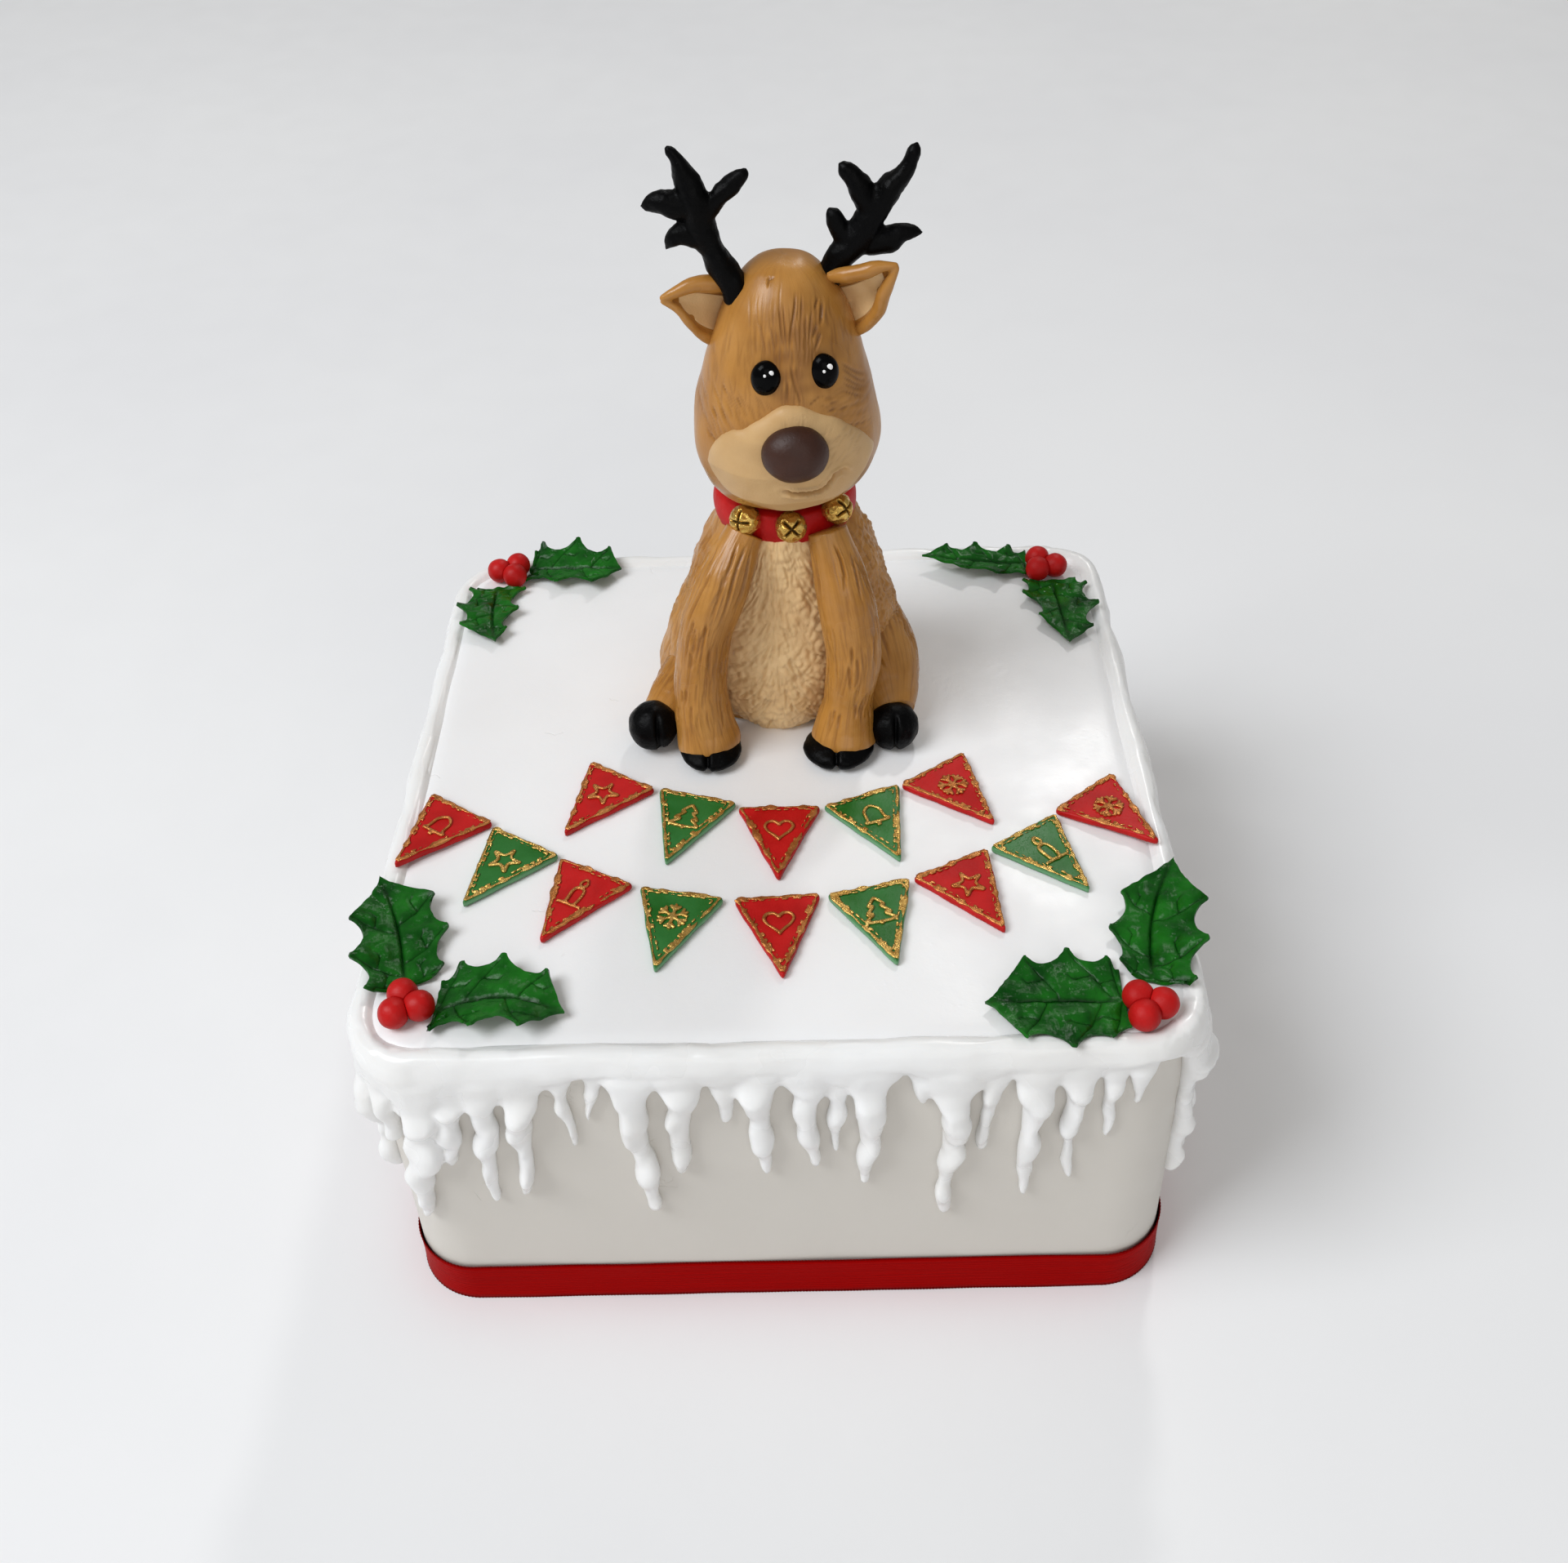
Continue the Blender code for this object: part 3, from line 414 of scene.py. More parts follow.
# Any paste, icing or paint, from a dictionary of its look. Heights are in millimetres.
def makeFinish(name, look):
    look = {"patches": 60.0, "cutDepth": 0.6, "glossScale": 40.0, "shader": {}, **look}
    material, tree, shader = newMaterial(name)
    place = addNode(tree, "TexCoord").outputs["Object"]

    def use(kind, *values):
        return addNode(tree, "Group", dict(enumerate(values)), node_tree=groups[kind]).outputs[0]

    tones = [tone(*parts) for parts in look["tones"]]
    shading = use("tone", place, tones[0], tones[1], tones[-1], look["patches"], look["cutDepth"])
    if "streaks" in look:
        across, along, share = look["streaks"]
        mask = addRange(tree, use("combed", across, along), *pattern["streaks"], 0.0, share)
        shading = mixColours(tree, mask, shading, tones[-1])
    scale, height = look["grain"]
    total = addMath(tree, "MULTIPLY", use("grain", place, scale), height)
    if "combed" in look:
        across, along, deep = look["combed"]
        total = addMath(tree, "MULTIPLY_ADD", use("combed", across, along), deep, total)
    if "cracks" in look:
        scale, rare, deep = look["cracks"]
        total = addMath(tree, "MULTIPLY_ADD", use("cracks", place, scale, rare), deep, total)
    roughness = use("gloss", place, look["glossScale"], *look["roughness"])
    plug(tree, shader, {"Base Color": shading, "Roughness": roughness,
                        "Normal": addBump(tree, total, 1.0, 0.001), **look["shader"]})
    return material


# How light goes into a paste, by its weight, its reach for each colour and its depth in metres
def waxy(weight, reach, depth):
    return {"Subsurface Weight": weight, "Subsurface Radius": reach, "Subsurface Scale": depth}


# The tones are the light one, the dark one and, where it differs from that, the one painted inside cuts as
# shade
icingWax, furWax = waxy(0.1, (1, 0.9, 0.8), 0.002), waxy(0.04, (1, 0.5, 0.25), 0.0015)
creamWax = waxy(0.05, (1, 0.6, 0.35), 0.0015)
looks = {
    # On the sugar icing the third tone is painted shade on the walls and underside, not in cuts
    "sugarIcing": {
        "tones": [(242, 242, 243), (237, 236, 236), (211, 206, 198)], "patches": 14.0, "cutDepth": 1.0,
        "roughness": (0.3, 0.48), "grain": (420.0, 0.04), "cracks": (46.0, 0.7, 0.09), "shader": icingWax,
    },
    "pouredIcing": {
        "tones": [(242, 242, 242), (236, 235, 233)], "patches": 30.0, "roughness": (0.2, 0.38),
        "grain": (380.0, 0.05), "cracks": (60.0, 0.72, 0.015), "shader": icingWax,
    },
    "furPaste": {
        "tones": [(196, 141, 70), (172, 117, 46), (122, 72, 22)], "cutDepth": 0.42, "roughness": (0.22, 0.4),
        "grain": (1500.0, 0.04), "combed": (2.2, 0.1, 0.08), "streaks": (0.9, 0.05, 0.4),
        "shader": {**furWax, "Specular IOR Level": 0.5},
    },
    "facePaste": {
        "tones": [(188, 134, 66), (162, 108, 40), (100, 54, 10)], "patches": 50.0, "cutDepth": 0.55,
        "roughness": (0.22, 0.42), "grain": (1300.0, 0.03), "combed": (2.0, 0.1, 0.03),
        "streaks": (0.7, 0.05, 0.16), "shader": {**furWax, "Specular IOR Level": 0.4},
    },
    "creamPaste": {
        "tones": [(208, 171, 119), (194, 154, 101), (124, 82, 42)], "patches": 70.0, "cutDepth": 0.55,
        "roughness": (0.34, 0.5), "grain": (1500.0, 0.06), "shader": creamWax,
    },
    "bellyPaste": {
        "tones": [(238, 203, 150), (228, 190, 136), (186, 142, 92)], "patches": 70.0, "cutDepth": 0.3,
        "roughness": (0.38, 0.54), "grain": (1300.0, 0.1), "shader": creamWax,
    },
    "blackPaste": {
        "tones": [(5, 5, 6), (2, 2, 2), (1, 1, 1)], "patches": 90.0, "roughness": (0.3, 0.5),
        "grain": (1300.0, 0.12), "shader": {"Specular IOR Level": 0.07},
    },
    "eyePaste": {
        "tones": [(5, 5, 6), (2, 2, 3)], "roughness": (0.14, 0.2), "grain": (900.0, 0.02),
        "shader": {"Specular IOR Level": 0.06},
    },
    "nosePaste": {
        "tones": [(66, 34, 20), (46, 22, 13), (24, 10, 6)], "roughness": (0.34, 0.46),
        "grain": (1200.0, 0.1), "shader": {"Specular IOR Level": 0.35},
    },
    "redPaste": {
        "tones": [(194, 22, 22), (170, 8, 8), (92, 4, 4)], "patches": 120.0, "roughness": (0.4, 0.55),
        "grain": (1500.0, 0.08), "shader": {"Specular IOR Level": 0.22},
    },
    # The green paste's third tone is the paler paste of the flags' cut sides
    "greenPaste": {
        "tones": [(50, 116, 54), (24, 92, 22), (112, 166, 122)], "patches": 90.0, "cutDepth": 0.85,
        "roughness": (0.28, 0.44), "grain": (1400.0, 0.07), "shader": {"Specular IOR Level": 0.25},
    },
    "hollyPaste": {
        "tones": [(26, 104, 24), (3, 60, 8), (1, 20, 4)], "patches": 130.0, "cutDepth": 0.95,
        "roughness": (0.07, 0.3), "glossScale": 140.0, "grain": (560.0, 0.26),
        "shader": {"Specular IOR Level": 0.17},
    },
    "goldPaint": {
        "tones": [(238, 200, 118), (188, 146, 70), (52, 30, 8)], "patches": 400.0, "cutDepth": 0.92,
        "roughness": (0.14, 0.4), "glossScale": 500.0, "grain": (1500.0, 0.25), "shader": {"Metallic": 0.9},
    },
    "bellGold": {
        "tones": [(228, 190, 104), (192, 148, 66), (48, 28, 8)], "patches": 300.0, "cutDepth": 0.95,
        "roughness": (0.16, 0.3), "glossScale": 400.0, "grain": (900.0, 0.1), "shader": {"Metallic": 0.85},
    },
    "copperPaint": {
        "tones": [(214, 146, 84), (170, 98, 44), (96, 30, 10)], "patches": 400.0, "cutDepth": 0.92,
        "roughness": (0.2, 0.46), "glossScale": 500.0, "grain": (1500.0, 0.2), "shader": {"Metallic": 0.8},
    },
    "whiteDot": {
        "tones": [(250, 250, 250), (240, 240, 240)], "roughness": (0.3, 0.4), "grain": (900.0, 0.02),
    },
    "paleFloor": {
        "tones": [(240, 240, 241), (235, 235, 237)], "patches": 3.0, "roughness": (0.5, 0.6),
        "grain": (300.0, 0.02),
    },
}
finishes = {name: makeFinish(name, look) for name, look in looks.items()}
print("finishes made")


# The cake's walls: a rounded square that narrows towards its top

cake = {"height": 107.3, "baseHalf": 106.2, "topHalf": 104.0, "cornerRadius": 16.0, "edgeRadius": 4.5,
        "voxel": 2.4, "waviness": 0.3}
flatHalf = cake["topHalf"] - cake["cornerRadius"]
sideLength = 2 * flatHalf + cake["cornerRadius"] * math.pi / 2


# A point round the walls: how far from the front's left end, how far out and how high
def wallPoint(distance, out, height):
    side, along = divmod(distance, sideLength)
    along -= flatHalf
    half = cake["baseHalf"] + (cake["topHalf"] - cake["baseHalf"]) * height / cake["height"]
    reach = half - flatHalf + out
    turn = max(along - flatHalf, 0) / cake["cornerRadius"]
    across = along if turn == 0 else flatHalf + reach * math.sin(turn)
    point = Vector((across, -flatHalf - reach * math.cos(turn), height))
    return Matrix.Rotation(side * math.pi / 2, 3, "Z") @ point


def makeCake():
    bm = bmesh.new()
    bmesh.ops.create_cube(bm, size=1)
    bmesh.ops.scale(bm, vec=(2 * cake["baseHalf"], 2 * cake["baseHalf"], cake["height"]), verts=bm.verts)
    bmesh.ops.translate(bm, vec=(0, 0, cake["height"] / 2), verts=bm.verts)
    upright = [edge for edge in bm.edges if abs(edge.verts[0].co.z - edge.verts[1].co.z) > 1]
    roundOff(bm, upright, cake["baseHalf"] - flatHalf, 12)
    top = [vert for vert in bm.verts if vert.co.z > 1]
    share = cake["topHalf"] / cake["baseHalf"]
    bmesh.ops.scale(bm, vec=(share, share, 1), verts=top)
    rim = [edge for edge in bm.edges if all(vert.co.z > 1 for vert in edge.verts)]
    roundOff(bm, rim, cake["edgeRadius"], 5)
    piece = objectFrom("cakeBody", bm)
    melt(piece, cake["voxel"], rounds=1)

    def rolledWithShadedWalls(place, normal, flow):
        wave = lumps(place, 46, 3) * cake["waviness"] + lumps(place, 15, 8) * cake["waviness"] * 0.35
        # Painted shade: the walls and underside, and not the top, take the icing's darker third tone
        return (wave if place.z > 3 else 0.0), 1 - fade(normal.z, 0.2, 0.7)

    sculpt(piece, rolledWithShadedWalls)
    settle(piece, "sugarIcing", "cake_body", onTop=False)


makeCake()
print("cake made")


# The poured icing: a band over the top edge, whose lower edge runs down in icicles

icing = {"columns": 460, "rows": 26, "voxel": 0.78, "keep": 0.6, "softness": 3, "proud": 3.8, "seed": 12}
# The front's band edge as (place along the side, drop below the top)
frontEdge = [
    (-96, 17), (-91, 13), (-83, 15), (-74, 11), (-64, 11), (-55, 9), (-41, 6), (-26, 7.5), (-14.5, 12),
    (-3, 6), (13, 12.5), (20, 11), (31, 6), (37, 12), (47, 13.5), (56, 8), (66, 9), (84, 8), (91, 5),
    (101, 9),
]
# The front's icicles as (place along the side, drop of the tip, width of the neck, lean of the tip)
frontIcicles = [
    (-99.5, 36, 6, 0), (-94.5, 23.5, 5, 0), (-89.5, 68, 7.5, -6.5), (-81, 43, 6, -5), (-73.5, 59, 7, -3),
    (-64, 57, 6.5, -4), (-54.2, 37, 3.6, 2.2), (-44.6, 25.5, 3.6, -4.6), (-36, 64, 8, 1),
    (-24.5, 48, 7, -0.5), (-13, 26.5, 4.5, 0), (-4.5, 48.5, 6.5, 0.8), (7.0, 46, 6.5, 1.2),
    (15.4, 40, 4, -1.6), (22.5, 54, 7, -1), (35.5, 21.5, 3.5, 0), (43, 68, 7, -1), (53.6, 41, 4.4, -2.6),
    (64, 60, 6.5, -1.5), (73.5, 54, 6, 0), (82.2, 37, 4, 0.3), (89.4, 24, 3.8, 0), (106.5, 67, 6.5, 0),
]


def between(points, place):
    for (low, start), (high, end) in zip(points, points[1:]):
        if low <= place <= high:
            return start + (end - start) * (place - low) / (high - low)
    return points[0][1] if place < points[0][0] else points[-1][1]


# The unseen sides repeat the front's habits
def sideEdges():
    draw = random.Random(icing["seed"])
    edges = [frontEdge]
    for _ in range(3):
        edges.append([(place, draw.uniform(6, 14)) for place in range(-100, 109, 9)])
    return edges


def sideIcicles():
    draw = random.Random(icing["seed"] + 1)
    rows = [frontIcicles]
    for _ in range(3):
        row = []
        place = -92 + draw.uniform(0, 3)
        while place < 103:
            drop = draw.choice((24, 34, 44, 52, 58, 63)) + draw.uniform(-4, 4)
            row.append((place, drop, 3.6 + drop * 0.06 + draw.uniform(-0.4, 0.6), draw.uniform(-2.5, 2.5)))
            place += draw.uniform(7.5, 12.5)
        rows.append(row)
    return rows


# The band's edge all round as a list of drops, evened out where one side meets the next
def bandDrops(edges):
    drops = []
    for column in range(icing["columns"]):
        side, along = divmod(4 * sideLength * column / icing["columns"], sideLength)
        drops.append(between(edges[int(side) % 4], along - flatHalf))
    for _ in range(4):
        drops = [(drops[i - 1] + 2 * drops[i] + drops[(i + 1) % len(drops)]) / 4 for i in range(len(drops))]
    return drops


def dropAt(drops, distance):
    return drops[round(distance / (4 * sideLength) * len(drops)) % len(drops)]


# The band's section as a closed line of (out, height)
def bandSection(drop, swell):
    top, proud = cake["height"], icing["proud"] + swell
    section = [
        (-4.2, top - 1.4), (-2.6, top - 0.1), (-1.6, top + 0.75), (-0.3, top + 1.05), (1.5, top + 0.7),
        (proud - 0.9, top - 1.4), (proud, top - 4.0 - drop * 0.05), (proud - 0.1, top - drop * 0.6 - 0.5),
        (proud - 0.5, top - drop + 1.5), (proud - 1.9, top - drop), (0.4, top - drop + 0.4),
        (-0.8, top - drop + 1.6), (-2.0, top - drop * 0.6 - 1.4), (-3.6, top - 3.2),
    ]
    return resample(section + section[:1], icing["rows"] + 1)


def addBand(bm, drops):
    columns = icing["columns"]
    sections = {}
    for vert, u, v in gridOn(bm, columns, icing["rows"]):
        column = round(u * columns) % columns
        if column not in sections:
            swell = 0.7 * noise.noise(Vector((column * 0.13, 4.2, 0)))
            sections[column] = bandSection(drops[column], swell)
        out, height = sections[column][round(v * icing["rows"])]
        vert.co = wallPoint(4 * sideLength * column / columns, out, height)


# An icicle hangs from inside the band, swells in lobes and ends in a tip that may hook to one side
icicle = {"around": 18, "leastRows": 16, "rowHeight": 1.1, "root": 3, "lobeLength": (11, 16),
          "hook": (-0.9, 0.9),
          "sway": (-0.7, 0.7), "swell": 0.85, "ripple": 0.2, "leastSwell": -0.26, "skirt": 0.72,
          "skirtReach": 4.4,
          "depth": 0.4, "sunk": 1.7}


def addIcicle(bm, start, drop, width, lean, edge, draw):
    seed, lobes = draw.uniform(0, 90), (drop - edge) / draw.uniform(*icicle["lobeLength"])
    hook, sway = draw.uniform(*icicle["hook"]), draw.uniform(*icicle["sway"])
    rows = max(icicle["leastRows"], round(drop / icicle["rowHeight"]))
    for vert, u, t in gridOn(bm, icicle["around"], rows):
        angle = math.tau * u
        down = icicle["root"] + (drop - icicle["root"]) * t
        share = max(0.0, (down - edge) / (drop - edge))
        free = fade(share, 0.02, 0.2)
        spot = Vector((math.cos(angle) * 0.45, math.sin(angle) * 0.3, seed))
        lump = icicle["swell"] * noise.noise(spot + Vector((0, 0, share * lobes * 1.5)))
        lump += icicle["ripple"] * noise.noise(spot + Vector((9, 0, share * lobes * 2.8)))
        lump = max(icicle["leastSwell"], lump)
        size = width * 0.5 * (1.0 - 0.42 * share - 0.2 * share**4) * (1 + free * lump)
        deep = icicle["depth"] * width * (0.74 + 0.26 * free) * (1 - 0.46 * share) * (1 + free * lump)
        wide = size + width * icicle["skirt"] * math.exp(-max(down - edge, 0) / icicle["skirtReach"])
        close = math.sqrt(max(0.0, 1 - max(0.0, (t - 0.94) / 0.06) ** 2)) * math.sqrt(min(1.0, t / 0.08))
        middle = start + lean * share + sway * math.sin(math.pi * share) + hook * fade(share, 0.82, 1.0)
        out = (deep + 0.9) * (1 + math.sin(angle) * close) - icicle["sunk"]
        vert.co = wallPoint(middle + wide * close * math.cos(angle), out, cake["height"] - down)


def makePouredIcing():
    drops = bandDrops(sideEdges())
    draw = random.Random(icing["seed"] + 2)
    bm = bmesh.new()
    addBand(bm, drops)
    for side, row in enumerate(sideIcicles()):
        for place, drop, width, lean in row:
            start = side * sideLength + place + flatHalf
            addIcicle(bm, start, drop, width, lean, dropAt(drops, start), draw)
    joinPoints(bm, bm.verts)
    piece = objectFrom("pouredIcing", bm)
    melt(piece, icing["voxel"], icing["softness"])
    reshape(piece, ("DECIMATE", {"ratio": icing["keep"]}))

    def ripple(place, normal, flow):
        onTop = fade(place.z, cake["height"] - 1.2, cake["height"] + 0.4)
        fold = max(0.0, 1 - abs(lumps(place, 7, 11)) * 7) * onTop
        return uneven(place, (17, 1, 0.7), (8, 5, 0.5), (3.4, 2, 0.14)) - 0.3 * fold, 0.0

    sculpt(piece, ripple)
    settle(piece, "pouredIcing", "icicle_icing", onTop=False)
    print("icing made", len(piece.data.polygons))


makePouredIcing()


# The satin ribbon, wrapped once round the base and lapped at the back

ribbon = {"low": 0.3, "high": 15.5, "out": 0.55, "lap": 16.0, "columns": 620, "rows": 10, "thickness": 0.22,
          "picot": 0.9}
ribbonLength = 4 * sideLength + ribbon["lap"]
satin = {
    "tones": [(140, 2, 2), (172, 5, 4), (112, 2, 2)], "weft": (2600, 90, 1), "streaks": (14, 40, 1),
    "spread": (0.12, 0.4), "selvedge": (0.45, 0.49), "roughness": (0.2, 0.36), "bump": (0.35, 0.0001),
    "shader": {"Metallic": 0.5, "Specular Tint": (1.0, 0.12, 0.1, 1), "Specular IOR Level": 0.04,
               "Anisotropic": 0.95, "Anisotropic Rotation": 0.25},
}


def ribbonPoint(u, v):
    distance = 2 * sideLength + flatHalf + u * ribbonLength
    over = fade(u * ribbonLength, 4 * sideLength - 10, 4 * sideLength) * 0.4
    ease = 0.18 * noise.noise(Vector((u * 46, v * 1.4, 3))) + 0.25 * (1 - v) ** 3
    height = ribbon["low"] + (ribbon["high"] - ribbon["low"]) * v
    return wallPoint(distance, ribbon["out"] + over + max(ease, -0.15), height)


# Satin: fine threads across the ribbon over soft streaks, and darker at its two edges
def makeSatin():
    material, tree, shader = newMaterial("redSatin")
    place = addNode(tree, "UVMap", uv_map="ribbonMap").outputs[0]
    weft, streaks = [addNode(tree, "Mapping", {"Vector": place, "Scale": satin[key]}).outputs[0]
                     for key in ("weft", "streaks")]
    threads, soft = addNoise(tree, weft, 1.0, 2.0), addNoise(tree, streaks, 1.0, 3.0)
    dark, light, edgeTone = [tone(*parts) for parts in satin["tones"]]
    spread = addRange(tree, addMath(tree, "MULTIPLY", threads, soft), *satin["spread"])
    across = addNode(tree, "SeparateXYZ", {0: place}).outputs["Y"]
    edge = addMath(tree, "ABSOLUTE", addMath(tree, "SUBTRACT", across, 0.5))
    selvedge = addRange(tree, edge, *satin["selvedge"])
    plug(tree, shader, {
        "Base Color": mixColours(tree, selvedge, mixColours(tree, spread, dark, light), edgeTone),
        "Roughness": addRange(tree, soft, 0.0, 1.0, *satin["roughness"]),
        "Normal": addBump(tree, threads, *satin["bump"]),
        **satin["shader"],
    })
    return material


finishes["redSatin"] = makeSatin()


def makeRibbon():
    bm = bmesh.new()
    bm.loops.layers.uv.new("ribbonMap")
    for vert, u, v in gridOn(bm, ribbon["columns"], ribbon["rows"], calc_uvs=True):
        vert.co = ribbonPoint(u, v)
    band = objectFrom("satinRibbon", bm)
    reshape(band, ("SOLIDIFY", {"thickness": ribbon["thickness"], "offset": 0}))
    settle(band, "redSatin", "ribbon", onTop=False)

    bm = bmesh.new()
    loops = round(ribbonLength / ribbon["picot"])
    for edge in (0.0, 1.0):
        for vert, u, _ in gridOn(bm, loops * 4, 5):
            angle = math.pi * vert.co.y
            size = 0.08 + 0.2 * abs(math.sin(math.pi * u * loops))
            spot = ribbonPoint(u, edge)
            outwards = Vector((spot.x, spot.y, 0)).normalized() * math.cos(angle) * size
            vert.co = spot + outwards + Vector((0, 0, math.sin(angle) * size))
    joinPoints(bm, bm.verts)
    picot = objectFrom("ribbonPicot", bm)
    settle(picot, "redSatin", onTop=False)


makeRibbon()
print("ribbon made")


# The bunting: two hand-laid rows of flags as (across, back, turn, tilt) at the middle of the upper edge

flags = {"base": 23.4, "depth": 28.0, "thickness": 2.2, "corner": 1.3, "voxel": 0.45, "trimVoxel": 0.25,
         "borderInset": 0.7, "borderWidth": 0.52, "borderPitch": 1.3, "stitchInset": 1.75,
         "stitchWidth": 0.4,
         "stitchPitch": 2.0, "stitchSteps": 8, "motifWidth": 0.5, "motifDown": 9.4, "raised": 0.12,
         "gap": 0.05,
         "seed": 5}
flagPlaces = {
    "upper": [(-43.9, -5.9, -32.3, 0), (-21.9, -15.2, -16.9, 0), (0.9, -20.7, -0.6, 0),
              (23.8, -16.8, 20.7, 0), (44.5, -6.4, 34.4, 0)],
    "lower": [(-88.4, -18.0, -33.3, 2.7), (-68.7, -31.6, -31.4, 0), (-48.2, -44.0, -27.3, 0),
              (-24.9, -52.6, -12.3, 0), (0.3, -55.0, 3.0, 0), (24.4, -52.2, 13.0, 0), (46.6, -44.3, 26.5, 0),
              (67.3, -32.5, 33.2, 0), (85.9, -17.8, 38.4, 2.7)],
}


def starPoints():
    rim = []
    for step in range(11):
        reach = 4.4 if step % 2 == 0 else 1.9
        rim.append((reach * math.sin(math.pi * step / 5), reach * math.cos(math.pi * step / 5)))
    return [rim]


def snowflakePoints():
    lines = []
    for arm in range(3):
        way = Vector((math.sin(math.pi * arm / 3), math.cos(math.pi * arm / 3)))
        side = Vector((way.y, -way.x))
        lines.append([way * -4.4, way * 4.4])
        for end in (-1, 1):
            for hand in (-1, 1):
                lines.append([way * end * 2.3, way * end * 3.8 + side * hand * 1.5])
    return lines


def heartPoints():
    rim = []
    for step in range(17):
        t = math.tau * step / 16
        x = 3.9 * math.sin(t) ** 3
        y = 3.3 * math.cos(t) - 1.3 * math.cos(2 * t) - 0.5 * math.cos(3 * t) - 0.2 * math.cos(4 * t)
        rim.append((x, y))
    return [rim]


motifs = {
    "star": starPoints(),
    "snowflake": snowflakePoints(),
    "heart": heartPoints(),
    "tree": [[(0, 4.6), (-2.2, 1.6), (-1.0, 1.6), (-3.2, -1.2), (-1.6, -1.2), (-4.0, -3.6), (4.0, -3.6),
              (1.6, -1.2), (3.2, -1.2), (1.0, 1.6), (2.2, 1.6), (0, 4.6)], [(0, -3.6), (0, -5.0)]],
    "candle": [[(-1.3, -4.4), (-1.3, 1.2), (1.3, 1.2), (1.3, -4.4), (-1.3, -4.4)],
               [(0, 1.8), (-1.0, 3.2), (0, 5.0), (1.0, 3.2), (0, 1.8)], [(-3.4, -4.6), (3.4, -4.6)]],
    "bell": [[(-3.6, -2.6), (-2.6, -1.6), (-2.2, 2.0), (0, 3.8), (2.2, 2.0), (2.6, -1.6), (3.6, -2.6),
              (-3.6, -2.6)],
             [(-0.6, -3.8), (0.6, -3.8)]],
}
flagMotifs = {"upper": ["star", "tree", "heart", "bell", "snowflake"],
              "lower": ["bell", "star", "candle", "snowflake", "heart", "tree", "star", "candle",
                        "snowflake"]}


# The flag's outline moved inwards
def flagCorners(inset):
    half, depth = flags["base"] / 2, flags["depth"]
    slope = math.hypot(half, depth)
    spare = inset * (slope + half) / depth
    return [Vector((-half + spare, -inset, 0)), Vector((half - spare, -inset, 0)),
            Vector((0, -depth + inset * slope / half, 0))]


# A red flag has copper on it and a green one gold
flagKinds = {
    "red": {"look": "redPaste", "paint": "copperPaint", "border": 1.2, "stitch": 0.75, "cutRim": 0},
    "green": {"look": "greenPaste", "paint": "goldPaint", "border": 1.0, "stitch": 1.0, "cutRim": 1},
}


def makeFlag(row, index, place, motif):
    x, y, turn, tilt = place
    draw = random.Random(flags["seed"] + index * 7 + len(row))
    seed = draw.uniform(0, 50)
    kind = flagKinds["green" if index % 2 else "red"]
    lie = Euler((-math.radians(tilt), 0, math.radians(turn))).to_matrix().to_4x4()
    lay = Matrix.Translation((x, y, 0)) @ lie
    thick, steps = flags["thickness"], flags["stitchSteps"]
    top = thick + flags["raised"]

    bm = bmesh.new()
    corners = [bm.verts.new(corner) for corner in flagCorners(0)]
    bm.faces.new(corners)
    roundOff(bm, corners, flags["corner"], 3, affect="VERTICES")
    raised = bmesh.ops.extrude_face_region(bm, geom=bm.faces[:])["geom"]
    upper = [part for part in raised if isinstance(part, bmesh.types.BMVert)]
    bmesh.ops.translate(bm, vec=(0, 0, thick - 0.15), verts=upper)
    bmesh.ops.translate(bm, vec=(0, 0, flags["gap"]), verts=bm.verts)
    flag = objectFrom(f"flag_{row}_{index + 1}_paste", bm)
    melt(flag, flags["voxel"], rounds=3)

    def cutByHand(spot, normal, flow):
        side = 1 - abs(normal.z)
        return lumps(spot, 6, seed) * 0.4 * side + lumps(spot, 5, seed + 9) * 0.12, side * kind["cutRim"]

    sculpt(flag, cutByHand)
    flag.data.transform(lay)
    settle(flag, kind["look"], f"flag_{row}_{index + 1}")

    # Painted on it: a brushed border, a chain of stitches and the motif
    bm = bmesh.new()
    rim = flagCorners(flags["borderInset"])
    stitched = flagCorners(flags["stitchInset"])
    for side in range(3):
        a, b = rim[side], rim[(side + 1) % 3]
        count = max(3, round((b - a).length / flags["borderPitch"]))
        wash = []
        for step in range(count + 1):
            x, y, _ = a.lerp(b, step / count)
            brush = noise.noise(Vector((step * 0.55, seed + side * 9, 0)))
            wash.append((x + draw.uniform(-0.12, 0.12), y + draw.uniform(-0.12, 0.12), thick,
                         flags["borderWidth"] * kind["border"] * (1 + 1.2 * brush)))
        rope(bm, wash, flat=0.42)
        a, b = stitched[side], stitched[(side + 1) % 3]
        count = round((b - a).length / flags["stitchPitch"])
        heavy = [draw.uniform(0.35, 1.15) * kind["stitch"] for _ in range(count + 1)]
        chain = []
        for step in range(count * steps + 1):
            x, y, _ = a.lerp(b, step / (count * steps))
            bead = 0.28 + 0.72 * abs(math.sin(math.pi * step / steps)) ** 0.7
            sway = 0.25 * noise.noise(Vector((step * 0.12, seed, side)))
            chain.append((x + sway, y + sway, top, flags["stitchWidth"] * bead * heavy[step // steps]))
        rope(bm, chain, flat=0.9, around=8, pitch=0.28)
    for line in motifs[motif]:
        drawn = [(px, py - flags["motifDown"], top, flags["motifWidth"] * draw.uniform(0.85, 1.15))
                 for px, py in line]
        rope(bm, drawn, flat=0.9)
    trim = objectFrom(f"flag_{row}_{index + 1}_gold", bm)
    melt(trim, flags["trimVoxel"], rounds=2)
    trim.data.transform(lay)
    settle(trim, kind["paint"])


for row, places in flagPlaces.items():
    for index, place in enumerate(places):
        makeFlag(row, index, place, flagMotifs[row][index])
print("bunting made")


